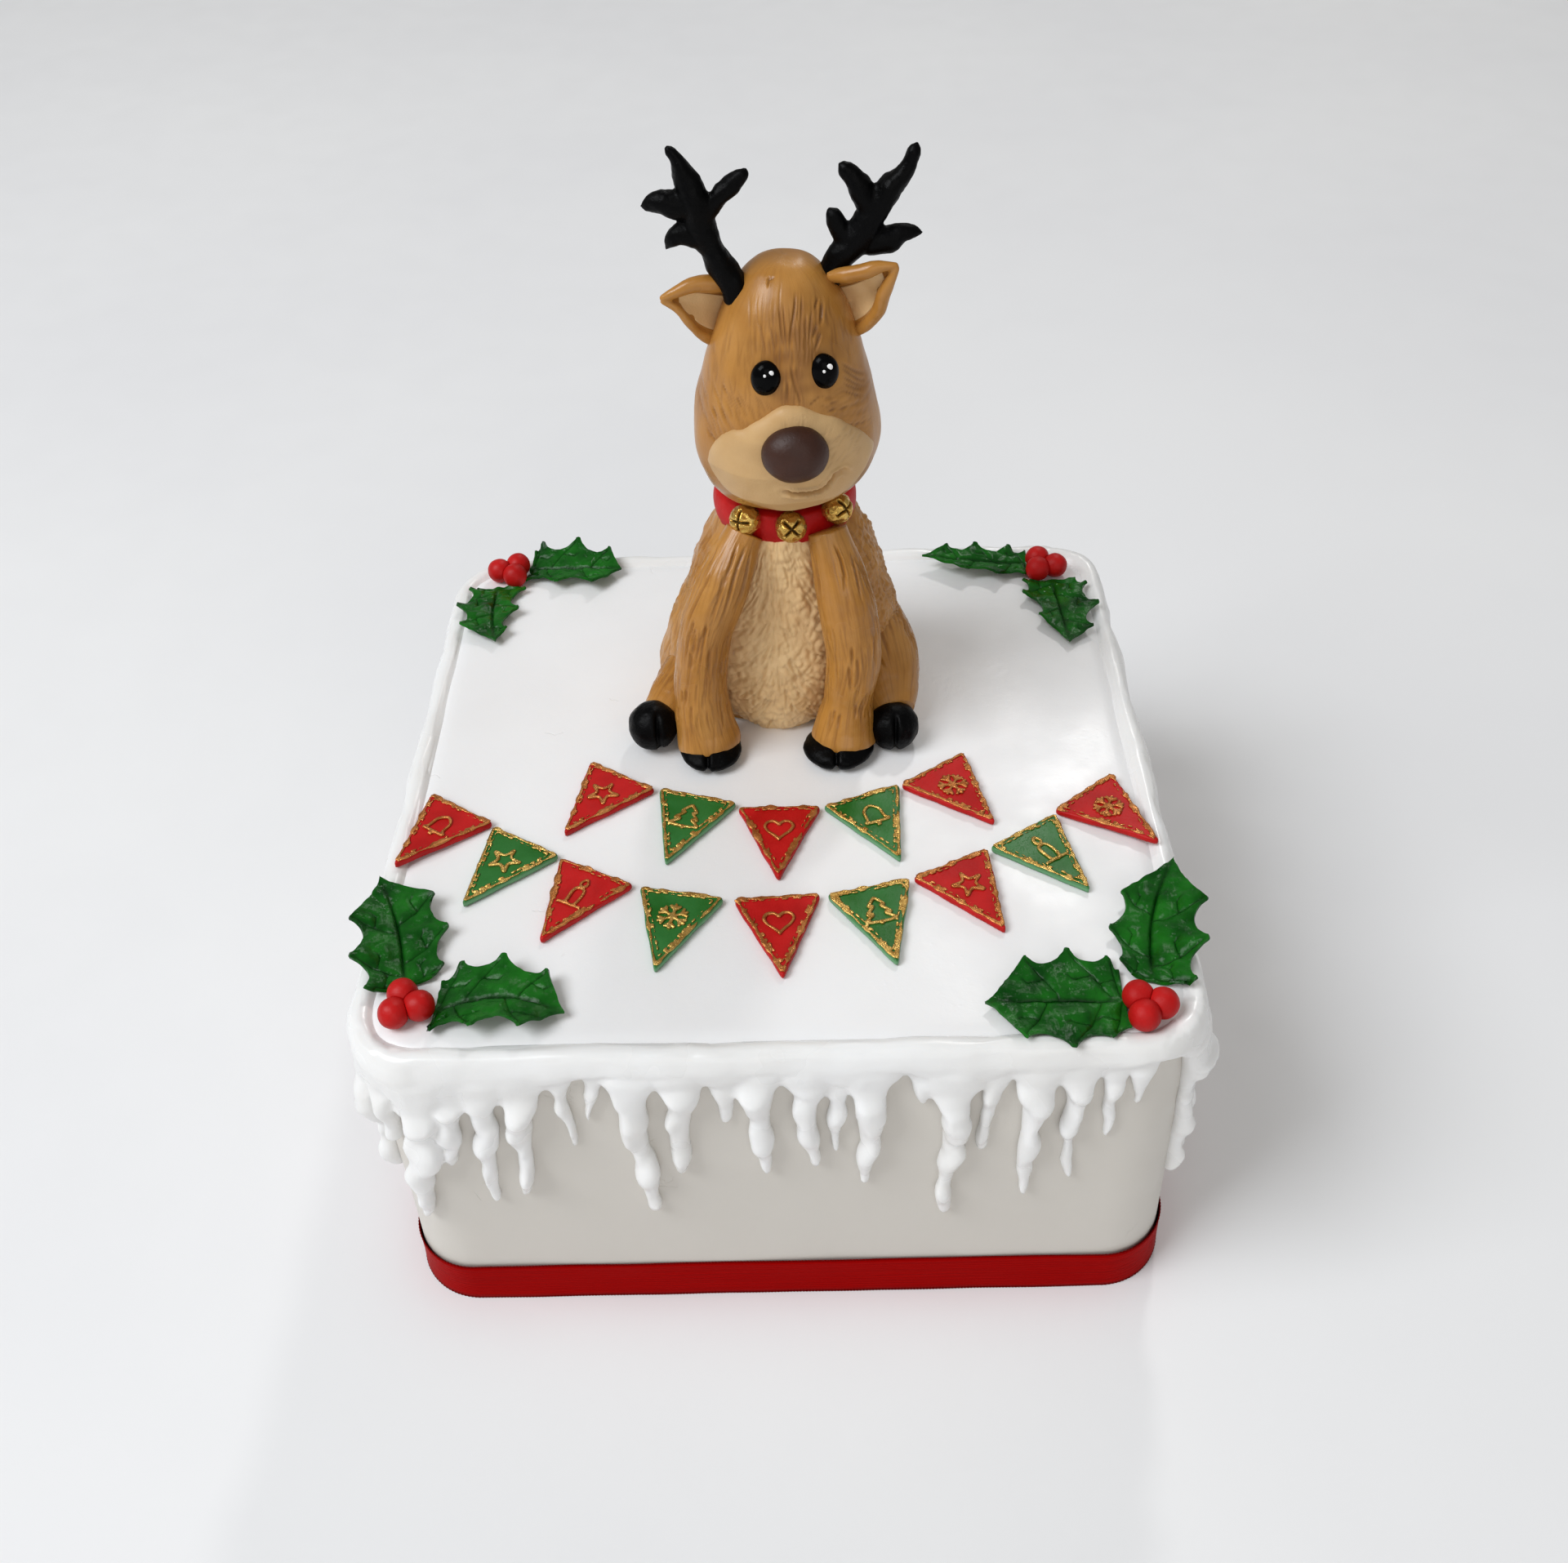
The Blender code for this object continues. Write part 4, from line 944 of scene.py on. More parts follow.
# Holly leaves as (name, tip, base, bend of the midrib to its right, width, arch, height of the tip,
# lift of the left edge, lift of the right edge)

leaves = [
    ("leaf_front_left_side", (-106, -46.5), (-93.6, -82.6), 1.5, 27, 1.0, 3.0, 3.6, 0.4),
    ("leaf_front_left", (-52, -93.2), (-84.9, -90.8), -3.5, 23, 2.5, 1.6, 0.4, 2.4),
    ("leaf_front_right_side", (105.5, -46.5), (93.4, -86.6), -3.0, 26.5, 1.0, 3.0, 0.4, 3.6),
    ("leaf_front_right", (51.2, -93), (85.6, -92.6), 0.2, 28.5, 0.8, 1.6, 0.3, 0.4),
    ("leaf_back_left", (-51.5, 95.0), (-83.0, 99.4), 0.0, 22.5, 1.5, 2.4, 2.6, 0.8),
    ("leaf_back_left_side", (-89, 58), (-92.5, 89.6), 1.2, 22, 1.0, 1.6, 0.4, 0.4),
    ("leaf_back_right", (48.5, 95.5), (83.5, 94.8), -2.0, 17, 2.0, 4.0, 0.8, 0.4),
    ("leaf_back_right_side", (91.3, 49.5), (90.4, 84.6), 0.0, 25, 1.0, 1.6, 0.4, 1.0),
]
leaf = {"rest": 0.6, "thickness": 0.8, "columns": 128, "rows": 64, "midrib": 1.1, "vein": 0.6, "sag": 3.0,
        "blunt": 0.06}
# The spines of each leaf's left and right edge, as (share of the length, distance from the midrib)
leafSpines = {
    "leaf_front_left_side": ([(0.02, 9.6), (0.29, 12.7), (0.63, 11.0)],
                             [(0.08, 10.5), (0.39, 13.0), (0.71, 11.7)]),
    "leaf_front_left": ([(0.13, 13.4), (0.46, 12.9), (0.82, 10.3)],
                        [(0.02, 7.5), (0.35, 11.0), (0.72, 10.3)]),
    "leaf_front_right_side": ([(0.10, 8.0), (0.32, 10.6), (0.63, 9.0)],
                              [(0.02, 10.5), (0.31, 14.2), (0.63, 12.8)]),
    "leaf_front_right": ([(0.13, 11.9), (0.43, 15.2), (0.76, 11.8)],
                         [(0.07, 13.6), (0.36, 15.8), (0.69, 13.2)]),
    "leaf_back_left": ([(0.07, 11.4), (0.46, 12.2), (0.83, 8.8)], [(0.02, 8.0), (0.37, 10.0), (0.77, 10.4)]),
    "leaf_back_left_side": ([(0.10, 9.8), (0.49, 8.6), (0.82, 4.4)],
                            [(0.02, 9.3), (0.35, 12.0), (0.70, 10.6)]),
    "leaf_back_right": ([(0.05, 8.6), (0.31, 9.2), (0.62, 6.6)], [(0.17, 8.2), (0.49, 8.6), (0.77, 6.6)]),
    "leaf_back_right_side": ([(0.11, 10.8), (0.46, 12.5), (0.81, 8.5)],
                             [(0.02, 10.0), (0.26, 11.4), (0.62, 7.4)]),
}


# How far a leaf's edge is from its midrib, hollow between the spines, and how much it waves there
def leafEdge(spines, along):
    stops = [(-0.001, spines[0][1] * 0.7)] + spines + [(1.0, 0.0)]
    for (low, wide), (high, nextWide) in zip(stops, stops[1:]):
        if along <= high:
            t = (along - low) / (high - low)
            if nextWide == 0:
                return wide * (1 - t) ** 1.2, (1 - t) ** 2
            inner = min(max((t - leaf["blunt"]) / (1 - 2 * leaf["blunt"]), 0.0), 1.0)
            hollow = leaf["sag"] * (high - low) / 0.33 * (4 * inner * (1 - inner)) ** 0.75
            return max(0.0, wide + (nextWide - wide) * t - hollow), abs(2 * t - 1) ** 2
    return 0.0, 0.0


def makeLeaf(name, tip, base, bend, width, arch, tipHeight, leftLift, rightLift):
    start, end = Vector(base), Vector(tip)
    length = (end - start).length
    way = (end - start).normalized()
    right = Vector((way.y, -way.x))
    seed = length + width
    bm = bmesh.new()
    flow = bm.verts.layers.float_vector.new("flow")
    for vert, along, _ in gridOn(bm, leaf["columns"], leaf["rows"]):
        share = vert.co.y
        wide, wave = leafEdge(leafSpines[name][1 if share > 0 else 0], along)
        bow = math.sin(math.pi * along)
        place = start + (end - start) * along + right * (share * wide + bend * bow)
        lift = (rightLift if share > 0 else leftLift) * (abs(share) * wide / (width / 2)) ** 1.4
        height = leaf["rest"] + lift + tipHeight * along**2 + arch * bow + 1.1 * wave * abs(share) ** 3
        vert[flow] = Vector((along * length, share * wide, 0))
        vert.co = (place.x, place.y, height)
    joinPoints(bm, bm.verts)
    piece = objectFrom(name + "_holly", bm)
    if piece.data.vertex_normals[0].vector.z < 0:
        piece.data.flip_normals()

    # A vein runs from the midrib to each spine, and smaller ones branch between the raised fields
    lines = [([(1.0, 0.0), (length * 0.5, 0.15), (length - 2.0, 0.0)], leaf["midrib"], 0.85)]
    for hand, spines in zip((-1, 1), leafSpines[name]):
        for share, wide in spines:
            root = max(share * length - wide * 0.62, 0.8)
            bendPoint = (root + (share * length - root) * 0.42, hand * wide * 0.5)
            spine = (share * length, hand * wide * 0.93)
            lines.append(([(root, 0.0), bendPoint, spine], leaf["vein"], 0.42))
            twig = (bendPoint[0] + wide * 0.34, hand * wide * 0.42)
            twigEnd = (twig[0] + 1.6, twig[1] + hand * 1.4)
            lines.append(([bendPoint, twig, twigEnd], leaf["vein"] * 0.8, 0.26))
    veins = carve(lines)
    wide = carve([(points, half * 3, 1.0) for points, half, _ in lines])

    def pressed(spot, normal, flow):
        field = Vector((flow.x, flow.y, seed))
        shift, inside = veins(flow.x, flow.y)
        _, near = wide(flow.x, flow.y)
        crinkle = lumps(field, 1.4) * 0.14 + lumps(field, 3.6) * 0.6
        # The veins are darkened with painted shade
        return crinkle - 0.5 * near + min(shift, 0.0), math.sqrt(inside)

    sculpt(piece, pressed)
    bevel = {"width": 0.2, "segments": 2, "limit_method": "ANGLE", "angle_limit": math.radians(60)}
    reshape(piece, ("SOLIDIFY", {"thickness": leaf["thickness"], "offset": 1}), ("BEVEL", bevel))
    settle(piece, "hollyPaste", name)


for values in leaves:
    makeLeaf(*values)

berries = {
    "front_left": [(-92.9, -86.6), (-87.6, -91.0), (-94.2, -93.4)],
    "front_right": [(88.0, -92.9), (94.3, -95.6), (88.7, -99.6)],
    "back_left": [(-86.2, 98.6), (-92.6, 95.2), (-86.6, 91.8)],
    "back_right": [(86.3, 93.9), (85.6, 87.1), (92.1, 89.0)],
}
berryRadius = 3.95


# Three berries lie together at a corner, flat where they are pressed on each other
def makeBerries(corner, places):
    middle = [sum(place[axis] for place in places) / 3 for axis in (0, 1)]
    places = [[value + 0.1 * (centre - value) for value, centre in zip(place, middle)] for place in places]
    for index, (x, y) in enumerate(places):
        centre = Vector((x, y, berryRadius - 0.1))

        def squashed(spot, normal, flow):
            shift = lumps(spot, 3.5, x) * 0.14 + lumps(spot, 0.9, y) * 0.03
            for otherX, otherY in places:
                way = Vector((otherX - x, otherY - y, 0))
                over = (spot - centre).dot(way) / max(way.length, 0.001) - (way.length / 2 - 0.04)
                if way.length and over > 0:
                    shift -= over / max(normal.dot(way.normalized()), 0.5)
            return shift, 0.0

        bm = bmesh.new()
        bmesh.ops.create_icosphere(bm, subdivisions=5, radius=berryRadius)
        bmesh.ops.translate(bm, vec=(x, y, berryRadius - 0.1), verts=bm.verts)
        name = f"berry_{corner}_{index + 1}"
        makePiece(f"{name}_paste", bm, squashed, "redPaste", name)


for corner, places in berries.items():
    makeBerries(corner, places)
print("holly made")


# The reindeer, as rings (across, back, up from the cake's top, half width, half depth)

torso = [
    (1.8, 40, 0, 35, 23.4), (2.2, 40, 6, 37.6, 24.6), (2.8, 40, 14, 36.6, 24.2), (3.4, 39.6, 24, 34.0, 23),
    (3.9, 39.1, 34, 30.6, 21.4), (4.4, 38.5, 44, 27.4, 20), (4.8, 37.7, 54, 23.6, 18.6),
    (4.9, 37.3, 62, 19.2, 17.4), (4.8, 37, 68, 16.4, 15.8), (4.8, 37, 73, 14.0, 13.6),
]
belly = [
    (1.6, 33, 0, 14, 18.2), (1.6, 33, 5, 21.4, 20.6), (1.4, 33, 12, 24.4, 21.2), (1.6, 33, 22, 25.4, 20.2),
    (2.2, 33, 33, 24.2, 18.6), (2.8, 33, 44, 21.4, 17.2), (3.5, 33, 54, 17.6, 16), (4.0, 33, 63, 13, 15.2),
    (4.2, 33, 66, 9, 12),
]
head = [
    (5.4, 29, 71.9, 0, 0), (5.4, 29, 72.3, 8.5, 5.8), (5.4, 28.6, 74, 14.2, 10.8), (5.6, 28, 78, 19.2, 15.8),
    (5.8, 27.4, 83.6, 22.6, 19.6), (6.2, 27, 92, 24.5, 21.4), (6.1, 26.8, 102, 23.4, 21.2),
    (6.1, 26.8, 110, 21.5, 20.2), (6.4, 27, 118, 19.2, 18.6), (6.6, 27.2, 126, 16.2, 16.2),
    (6.6, 27.5, 132.4, 13, 13.4), (6.5, 27.8, 136.8, 9.4, 10), (6.4, 28, 139.4, 5, 5.4),
    (6.4, 28, 140.2, 0, 0),
]
forelegs = {
    "left": [(-6.2, 20, 66, 5.2, 4.8), (-12.6, 13.5, 54, 7.3, 7.0), (-18.2, 10.5, 39.5, 7.4, 7.4),
             (-20.8, 9, 21, 7.6, 7.6), (-20.2, 7.6, 9, 8.6, 8.6), (-19.4, 6.4, 3.2, 9.2, 9.4),
             (-19.3, 6.0, 1.6, 7.4, 7.6)],
    "right": [(16.2, 20, 66, 5.4, 4.8), (20.6, 13.5, 48, 7.8, 7.2), (22.8, 10.5, 31, 7.8, 7.6),
              (21.2, 9, 16, 7.1, 7.4), (20.2, 7.6, 8, 8.6, 8.6), (19.7, 6.4, 3.2, 9.4, 9.4),
              (19.6, 6.0, 1.6, 7.6, 7.6)],
}
hindLegs = {
    "left": [(-17, 40, 9, 10, 8), (-20, 36, 9, 13, 10), (-25.5, 28, 8.8, 10, 9), (-30.6, 20, 7.4, 7.6, 7.4),
             (-34.4, 13.6, 6.8, 5.4, 5.4)],
    "right": [(22, 44, 17, 11, 11), (24.5, 40, 17, 14.5, 14), (29.4, 31, 14.5, 13.2, 13),
              (32.4, 21, 10.4, 10.4, 10.0), (34.2, 12.6, 7.2, 6.4, 6.4)],
}
limbs = {"legAround": 156, "legAlong": 160, "bodyAround": 400, "bodyAlong": 150, "bellyAlong": 150,
         "headAround": 420, "headAlong": 180, "antlerAround": 28, "antlerAlong": 60, "antlerVoxel": 0.5,
         "collarAround": 360, "collarAlong": 44}

# Zones of cuts in the paste as (how many, where they start, lengths, half width, depths, heading in degrees)
furCuts = {
    "foreleg": [(15, (2, 12), (12, 20), 0.55, (0.55, 0.8), (-7, 7)),
                (20, (24, 38), (5, 11), 0.55, (0.5, 0.8), (-9, 9)),
                (15, (46, 56), (4, 8), 0.5, (0.4, 0.65), (-7, 7)),
                (130, (3, 58), (7, 16), 0.34, (0.08, 0.2), (-6, 6))],
    "hind": [(26, (3, 22), (5, 12), 0.55, (0.4, 0.7), (-14, 14)),
             (90, (1, 24), (5, 11), 0.36, (0.1, 0.24), (-12, 12))],
    "torso": [(170, (2, 60), (5, 13), 0.52, (0.3, 0.6), (-14, 14)),
              (420, (1, 64), (4, 11), 0.38, (0.1, 0.26), (-16, 16))],
    "head": [(120, (8, 56), (5, 13), 0.4, (0.05, 0.14), (-8, 8))],
}


# Cuts all round a limb, whose skin is rolled out flat to its girth
def roundCuts(seed, kind, girth):
    draw = random.Random(seed)
    wrap = math.tau * girth
    cuts = []
    for count, along, length, half, deep, heading in furCuts[kind]:
        cuts += scatter(draw, count, (-wrap / 2, wrap / 2), along, length, half, deep, heading, wrap)
    return cuts


# Paste combed along a limb, smooth at its two ends, with painted shade in its cuts
def fur(seed, kind, size, rough, crumbs=0.0):
    girth, length = size
    at = carve(roundCuts(seed, kind, girth))

    def rule(place, normal, flow):
        shift, inside = at(math.atan2(flow.y, flow.x) * girth, flow.z)
        ends = fade(flow.z, 0.5, 3) * (1 - fade(flow.z, length - 3, length - 0.5))
        rise = lumps(place, 7, seed) * rough * 2 + lumps(place, 2.2, seed + 1) * rough * 0.5
        rise += crumbs * abs(lumps(place, 1.8, seed)) * fade(place.x, 20, 28)
        return rise + shift * ends, inside * ends
    return rule


def makeTorso():
    bm = bmesh.new()
    size = skin(bm, torso, limbs["bodyAround"], limbs["bodyAlong"])
    cut = fur(4, "torso", size, rough=0.42, crumbs=0.9)

    # It is sunk where the belly lies on it
    def sunk(place, normal, flow):
        shift, inside = cut(place, normal, flow)
        under = fade(-normal.y, 0.1, 0.5) * (1 - fade(abs(place.x - bellyMiddle), 20, 26))
        return shift - 1.5 * under, inside

    makePiece("torsoFur", bm, sunk, "furPaste", "torso")


# The belly's cuts run down its middle and slant outwards at its sides, over crumpled paste, and are darkened
# with painted shade
bellyMiddle = 2.2
bellyZones = [(190, (-25, 29), (0, 52), (4, 12), 0.42, (0.35, 0.65)),
              (70, (-20, 24), (44, 62), (2, 5), 0.4, (0.15, 0.35)),
              (220, (-25, 29), (0, 58), (2, 6), 0.28, (0.08, 0.22))]


def bellySlant(x, z):
    return -max(-58, min(58, (x - bellyMiddle) * 4.2)) * (1 - 0.45 * fade(z, 30, 52))


def makeBelly():
    draw = random.Random(17)
    cuts = []
    for count, across, along, length, half, deep in bellyZones:
        cuts += scatter(draw, count, across, along, length, half, deep, bellySlant)
    at = carve(cuts, cell=2.0)

    def crumpled(place, normal, flow):
        shift, inside = at(place.x, place.z)
        facing = fade(-normal.y, 0.05, 0.3)
        crumb = abs(lumps(place, 2.6, 9)) * 0.9 + lumps(place, 1.1, 4) * 0.16 + lumps(place, 5, 2) * 0.5
        return crumb + shift * facing, inside * facing

    bm = bmesh.new()
    skin(bm, belly, limbs["bodyAround"], limbs["bellyAlong"])
    makePiece("bellyFur", bm, crumpled, "bellyPaste", "belly")


# The legs as (name, kind of cuts, stations, roughness)
legKinds = [("foreleg", "foreleg", forelegs, 0.16), ("hind_leg", "hind", hindLegs, 0.24)]


def makeLegs():
    for name, kind, legs, rough in legKinds:
        for seed, (side, stations) in enumerate(legs.items()):
            bm = bmesh.new()
            size = skin(bm, stations, limbs["legAround"], limbs["legAlong"], across=(1, 0, 0))
            for vert in bm.verts:
                vert.co.z = max(vert.co.z, 0.2)
            rule = fur(31 + seed * 9, kind, size, rough)
            makePiece(f"{name}_{side}_fur", bm, rule, "furPaste", f"{name}_{side}")


# How far forward the head's front is at a place on its face
def headFront(x, z):
    for low, high in zip(head, head[1:]):
        if low[2] <= z <= high[2]:
            share = (z - low[2]) / (high[2] - low[2])
            ring = [a + (b - a) * share for a, b in zip(low, high)]
            return ring[1] - ring[4] * math.sqrt(max(0.0, 1 - ((x - ring[0]) / ring[3]) ** 2))
    return head[0][1]


muzzle = {"middle": (7.2, 93.0), "thickness": 2.4, "around": 250, "along": 84, "smileWidth": 0.95,
          "smileDepth": 2.3}
# The muzzle's outline on the face, clockwise from its left end
muzzleOutline = [
    (-14.4, 91.2), (-13.6, 95), (-11.2, 99.4), (-7.6, 103), (-4.4, 104.2), (-2.4, 105.8), (0.4, 107.8),
    (3.2, 109.6), (5.2, 110.6), (7.2, 110.8), (10.2, 110.4), (15.2, 107.8), (19.2, 105.2), (23.4, 101.2),
    (27, 96.8), (28.6, 93.6), (28, 91), (26.6, 87.6), (23.4, 83.6), (18.4, 80.5), (14, 78.5), (9, 77.6),
    (4, 77.8), (-1, 79.4), (-6, 81.8), (-10.2, 84.2), (-13, 87.6),
]
nose = {"place": (8.3, 99.4), "size": (8.5, 6.2, 7.4)}
# Each eye's place, and its white dots as (across, up, radius) from its middle
eyes = {
    "left": {"place": (1.7, 117.0), "dots": [(1.4, 2.5, 0.62), (-0.2, 2.0, 0.38)]},
    "right": {"place": (15.8, 117.4), "dots": [(1.5, 2.3, 0.75), (0.1, 1.4, 0.4)]},
}
eyeSize = (3.8, 2.9, 4.6)
smile = [(4.6, 87.9), (7.8, 87.2), (11.4, 87.2), (14.2, 87.6), (15.8, 88.6), (17.0, 90.2), (18.2, 91.6),
         (20.2, 92.0), (21.8, 90.4)]
dimple = {"place": (18.4, 90.4), "size": 1.7, "depth": 0.4}
cheek = {"place": (14.6, 92.6), "size": 4.0, "height": 0.9}
brow = {"place": (9.0, 121.0), "size": (9.0, 12.0), "share": 0.95}
# The face's own cuts as (places on it, half width, depth)
faceCuts = [
    ([(9.6, 135.8), (9.2, 132.4), (8.2, 128.2), (7.8, 123.2)], 0.38, 0.34),
    ([(7.8, 120.6), (8.8, 115.8), (10.4, 110.0)], 0.42, 0.4), ([(7.0, 116.8), (6.8, 111.0)], 0.42, 0.4),
    ([(15.0, 133.6), (14.2, 132.0), (14.0, 131.2)], 0.4, 0.42), ([(16.0, 132.4), (15.2, 127.8)], 0.52, 0.7),
    ([(14.4, 128.2), (13.2, 125.6)], 0.45, 0.46), ([(15.4, 126.4), (13.6, 122.8)], 0.45, 0.46),
    ([(0.8, 129.8), (2.0, 122.0)], 0.4, 0.3), ([(5.4, 133.4), (6.4, 123.6)], 0.36, 0.24),
    ([(3.2, 129.4), (4.4, 123.0)], 0.36, 0.22), ([(6.4, 133.6), (7.0, 124.2)], 0.3, 0.2),
    ([(11.0, 135.0), (10.2, 123.6)], 0.34, 0.24), ([(11.8, 131.2), (11.6, 124.0)], 0.34, 0.22),
    ([(13.2, 131.6), (12.2, 123.6)], 0.34, 0.24), ([(20.2, 118.0), (27.0, 110.8)], 0.4, 0.3),
    ([(20.2, 117.0), (27.2, 108.8)], 0.38, 0.26), ([(20.4, 115.0), (27.2, 107.8)], 0.38, 0.28),
    ([(20.4, 113.4), (26.8, 107.6)], 0.36, 0.24), ([(20.4, 111.6), (26.4, 106.8)], 0.36, 0.22),
    ([(-12.2, 107.0), (-11.0, 104.0)], 0.45, 0.4), ([(-10.0, 107.8), (-8.6, 104.4)], 0.45, 0.4),
    ([(-5.8, 111.8), (-4.6, 109.0)], 0.42, 0.34), ([(-9.2, 113.4), (-8.2, 111.4)], 0.4, 0.3),
    ([(-14.2, 100.0), (-11.4, 98.0)], 0.4, 0.3), ([(17.0, 109.6), (20.4, 110.0)], 0.34, 0.2),
    ([(20.2, 103.0), (28.6, 100.0)], 0.36, 0.24), ([(15.2, 108.4), (25.6, 106.4)], 0.36, 0.26),
    ([(12.0, 110.4), (15.2, 112.4)], 0.34, 0.22), ([(2.6, 137.6), (4.6, 138.0)], 0.3, 0.3),
    ([(3.2, 137.8), (2.8, 136.4)], 0.3, 0.3),
]
# Fields of fine cuts on the face, as (how many, across, up, lengths, half width, depths, heading)
faceFields = [
    (46, (-2, 15), (119, 130), (4, 9), 0.34, (0.06, 0.15), (-5, 5)),
    (18, (4.5, 12), (107, 117), (4, 7), 0.34, (0.08, 0.18), (-5, 5)),
    (60, (-15, 2), (97, 110), (2.5, 5), 0.36, (0.08, 0.24), (-34, -16)),
    (30, (-6, 3), (103, 110), (2, 4), 0.32, (0.06, 0.14), (-24, -8)),
    (44, (14, 25), (99, 113), (4, 9), 0.34, (0.06, 0.14), (93, 113)),
    (24, (-13, -2), (108, 122), (4, 9), 0.36, (0.02, 0.06), (-8, 14)),
    (24, (17, 26), (116, 128), (4, 9), 0.36, (0.02, 0.07), (-20, 4)),
]
muzzleFields = [
    (34, (13, 24), (94, 103), (2, 5), 0.28, (0.07, 0.18), (30, 75)),
    (10, (4, 12), (105, 108), (2, 4), 0.26, (0.05, 0.14), (-12, 12)),
]


def fieldCuts(seed, fields):
    draw = random.Random(seed)
    return [cut for count, *rest in fields for cut in scatter(draw, count, *rest)]


# The face is cut by hand and the back of the head combed lightly downwards, with painted shade in the cuts
def faceFur(size):
    girth = size[0]
    onFace = carve(faceCuts)
    combed = carve(fieldCuts(5, faceFields))
    around = carve(roundCuts(6, "head", girth))
    (browX, browZ), (browWide, browHigh) = brow["place"], brow["size"]

    def rule(place, normal, flow):
        facing = fade(-normal.y, 0.0, 0.35)
        shift, inside = onFace(place.x, place.z)
        stroke, faint = combed(place.x, place.z)
        shift, inside = shift + stroke, max(inside, 0.45 * faint)
        backShift, backInside = around(math.atan2(flow.y, flow.x) * girth, flow.z)
        # A darker patch above and between the eyes goes into the same mask
        away = math.hypot((place.x - browX) / browWide, (place.z - browZ) / browHigh)
        browDarkening = brow["share"] * math.exp(-away * away) * facing * (1 + lumps(place, 3, 2))
        return (uneven(place, (8, 3, 0.42), (2.6, 6, 0.05)) + shift * facing + backShift * (1 - facing),
                min(1.0, inside * facing + backInside * (1 - facing) + browDarkening))
    return rule


def makeHead():
    bm = bmesh.new()
    size = skin(bm, head, limbs["headAround"], limbs["headAlong"])
    makePiece("headFur", bm, faceFur(size), "facePaste", "head")


def makeMuzzle():
    bm = bmesh.new()
    middleX, middleZ = muzzle["middle"]
    rim = resample([(x, z, 0) for x, z in muzzleOutline + muzzleOutline[:1]], muzzle["around"] + 1)
    for vert, u, t in gridOn(bm, muzzle["around"], muzzle["along"]):
        spot = rim[round(u * muzzle["around"]) % muzzle["around"]]
        share = min(t / 0.9, 1.0)
        x, z = middleX + (spot.x - middleX) * share, middleZ + (spot.y - middleZ) * share
        rise = muzzle["thickness"] * math.sqrt(max(0.0, 1 - share**9))
        if t > 0.9:
            rise = -2.0 * (t - 0.9) / 0.1
        vert.co = (x, headFront(x, z) - rise, z)
    joinPoints(bm, bm.verts)
    fillHoles(bm)
    crease = carve([(smile, muzzle["smileWidth"], muzzle["smileDepth"])])
    combed = carve(fieldCuts(8, muzzleFields))

    def modelled(place, normal, flow):
        facing = fade(-normal.y, 0.1, 0.4)
        fold, inside = crease(place.x, place.z)
        stroke, faint = combed(place.x, place.z)
        shift, inside = fold + stroke, max(inside, 0.25 * faint)
        away = math.dist((place.x, place.z), dimple["place"]) / dimple["size"]
        full = math.dist((place.x, place.z), cheek["place"]) / cheek["size"]
        swell = cheek["height"] * math.exp(-full * full) - dimple["depth"] * math.exp(-away * away)
        # The smile's crease and the strokes are darkened with painted shade
        return uneven(place, (7, 2, 0.34), (2.4, 5, 0.06)) + (shift + swell) * facing, inside * facing

    makePiece("muzzlePaste", bm, modelled, "creamPaste", "muzzle")


def makeBall(name, centre, sizes, rule, look, *nodes, detail=5):
    bm = bmesh.new()
    bmesh.ops.create_icosphere(bm, subdivisions=detail, radius=1)
    bmesh.ops.scale(bm, vec=sizes, verts=bm.verts)
    bmesh.ops.translate(bm, vec=centre, verts=bm.verts)
    makePiece(name, bm, rule, look, *nodes)


def makeFace():
    x, z = nose["place"]
    centre = (x, headFront(x, z) - muzzle["thickness"], z)
    makeBall("nosePaste", centre, nose["size"], rolled((5, 2, 0.22), (1.4, 3, 0.03)), "nosePaste", "nose")
    for side, look in eyes.items():
        x, z = look["place"]
        back = headFront(x, z) + 0.7
        makeBall(f"eye_{side}_paste", (x, back, z), eyeSize, rolled((3, 2, 0.12)), "eyePaste", f"eye_{side}")
        for label, (dx, dz, size) in zip(("large", "small"), look["dots"]):
            bulge = eyeSize[1] * math.sqrt(1 - (dx / eyeSize[0]) ** 2 - (dz / eyeSize[2]) ** 2)
            makeBall(f"eye_{side}_dot_{label}", (x + dx, back - bulge, z + dz), (size, 0.3, size * 1.1),
                     rolled((0.8, 2, 0.06)), "whiteDot", detail=3)


# Ears: a cupped shell between a thick rolled upper rim and a lower one, and a cream lining. Both rims run
# from the head to the tip, as (across, back, up, radius).

ears = {
    "left": {
        "upper": [(-5.0, 26.5, 133.4, 2.2), (-11, 24.6, 134.8, 2.2), (-16, 23.6, 134.8, 1.9),
                  (-20, 23, 133.4, 1.5), (-23.6, 22.8, 131.9, 0.7)],
        "lower": [(-11.5, 26.5, 118.6, 1.4), (-15, 25, 121.8, 1.3), (-17.2, 24, 125.2, 1.2),
                  (-19.6, 23.4, 129.0, 1.1), (-23.4, 22.8, 131.6, 0.7)],
    },
    "right": {
        "upper": [(17.6, 26.6, 134.6, 1.6), (22, 24.6, 135.9, 2.0), (26, 23.6, 137.0, 2.0),
                  (30, 23, 138.2, 1.6), (34.4, 22.8, 138.6, 0.6)],
        "lower": [(23.8, 26.8, 119.6, 1.3), (27, 25.4, 122.4, 1.6), (29.6, 24.4, 126.4, 1.8),
                  (31, 23.6, 131, 1.8), (32.6, 23.2, 135, 1.5), (34.2, 22.8, 138.2, 0.7)],
    },
}
ear = {"cup": 5.6, "thickness": 1.5, "voxel": 0.4, "columns": 60, "rows": 36, "lining": (-0.76, 0.34)}


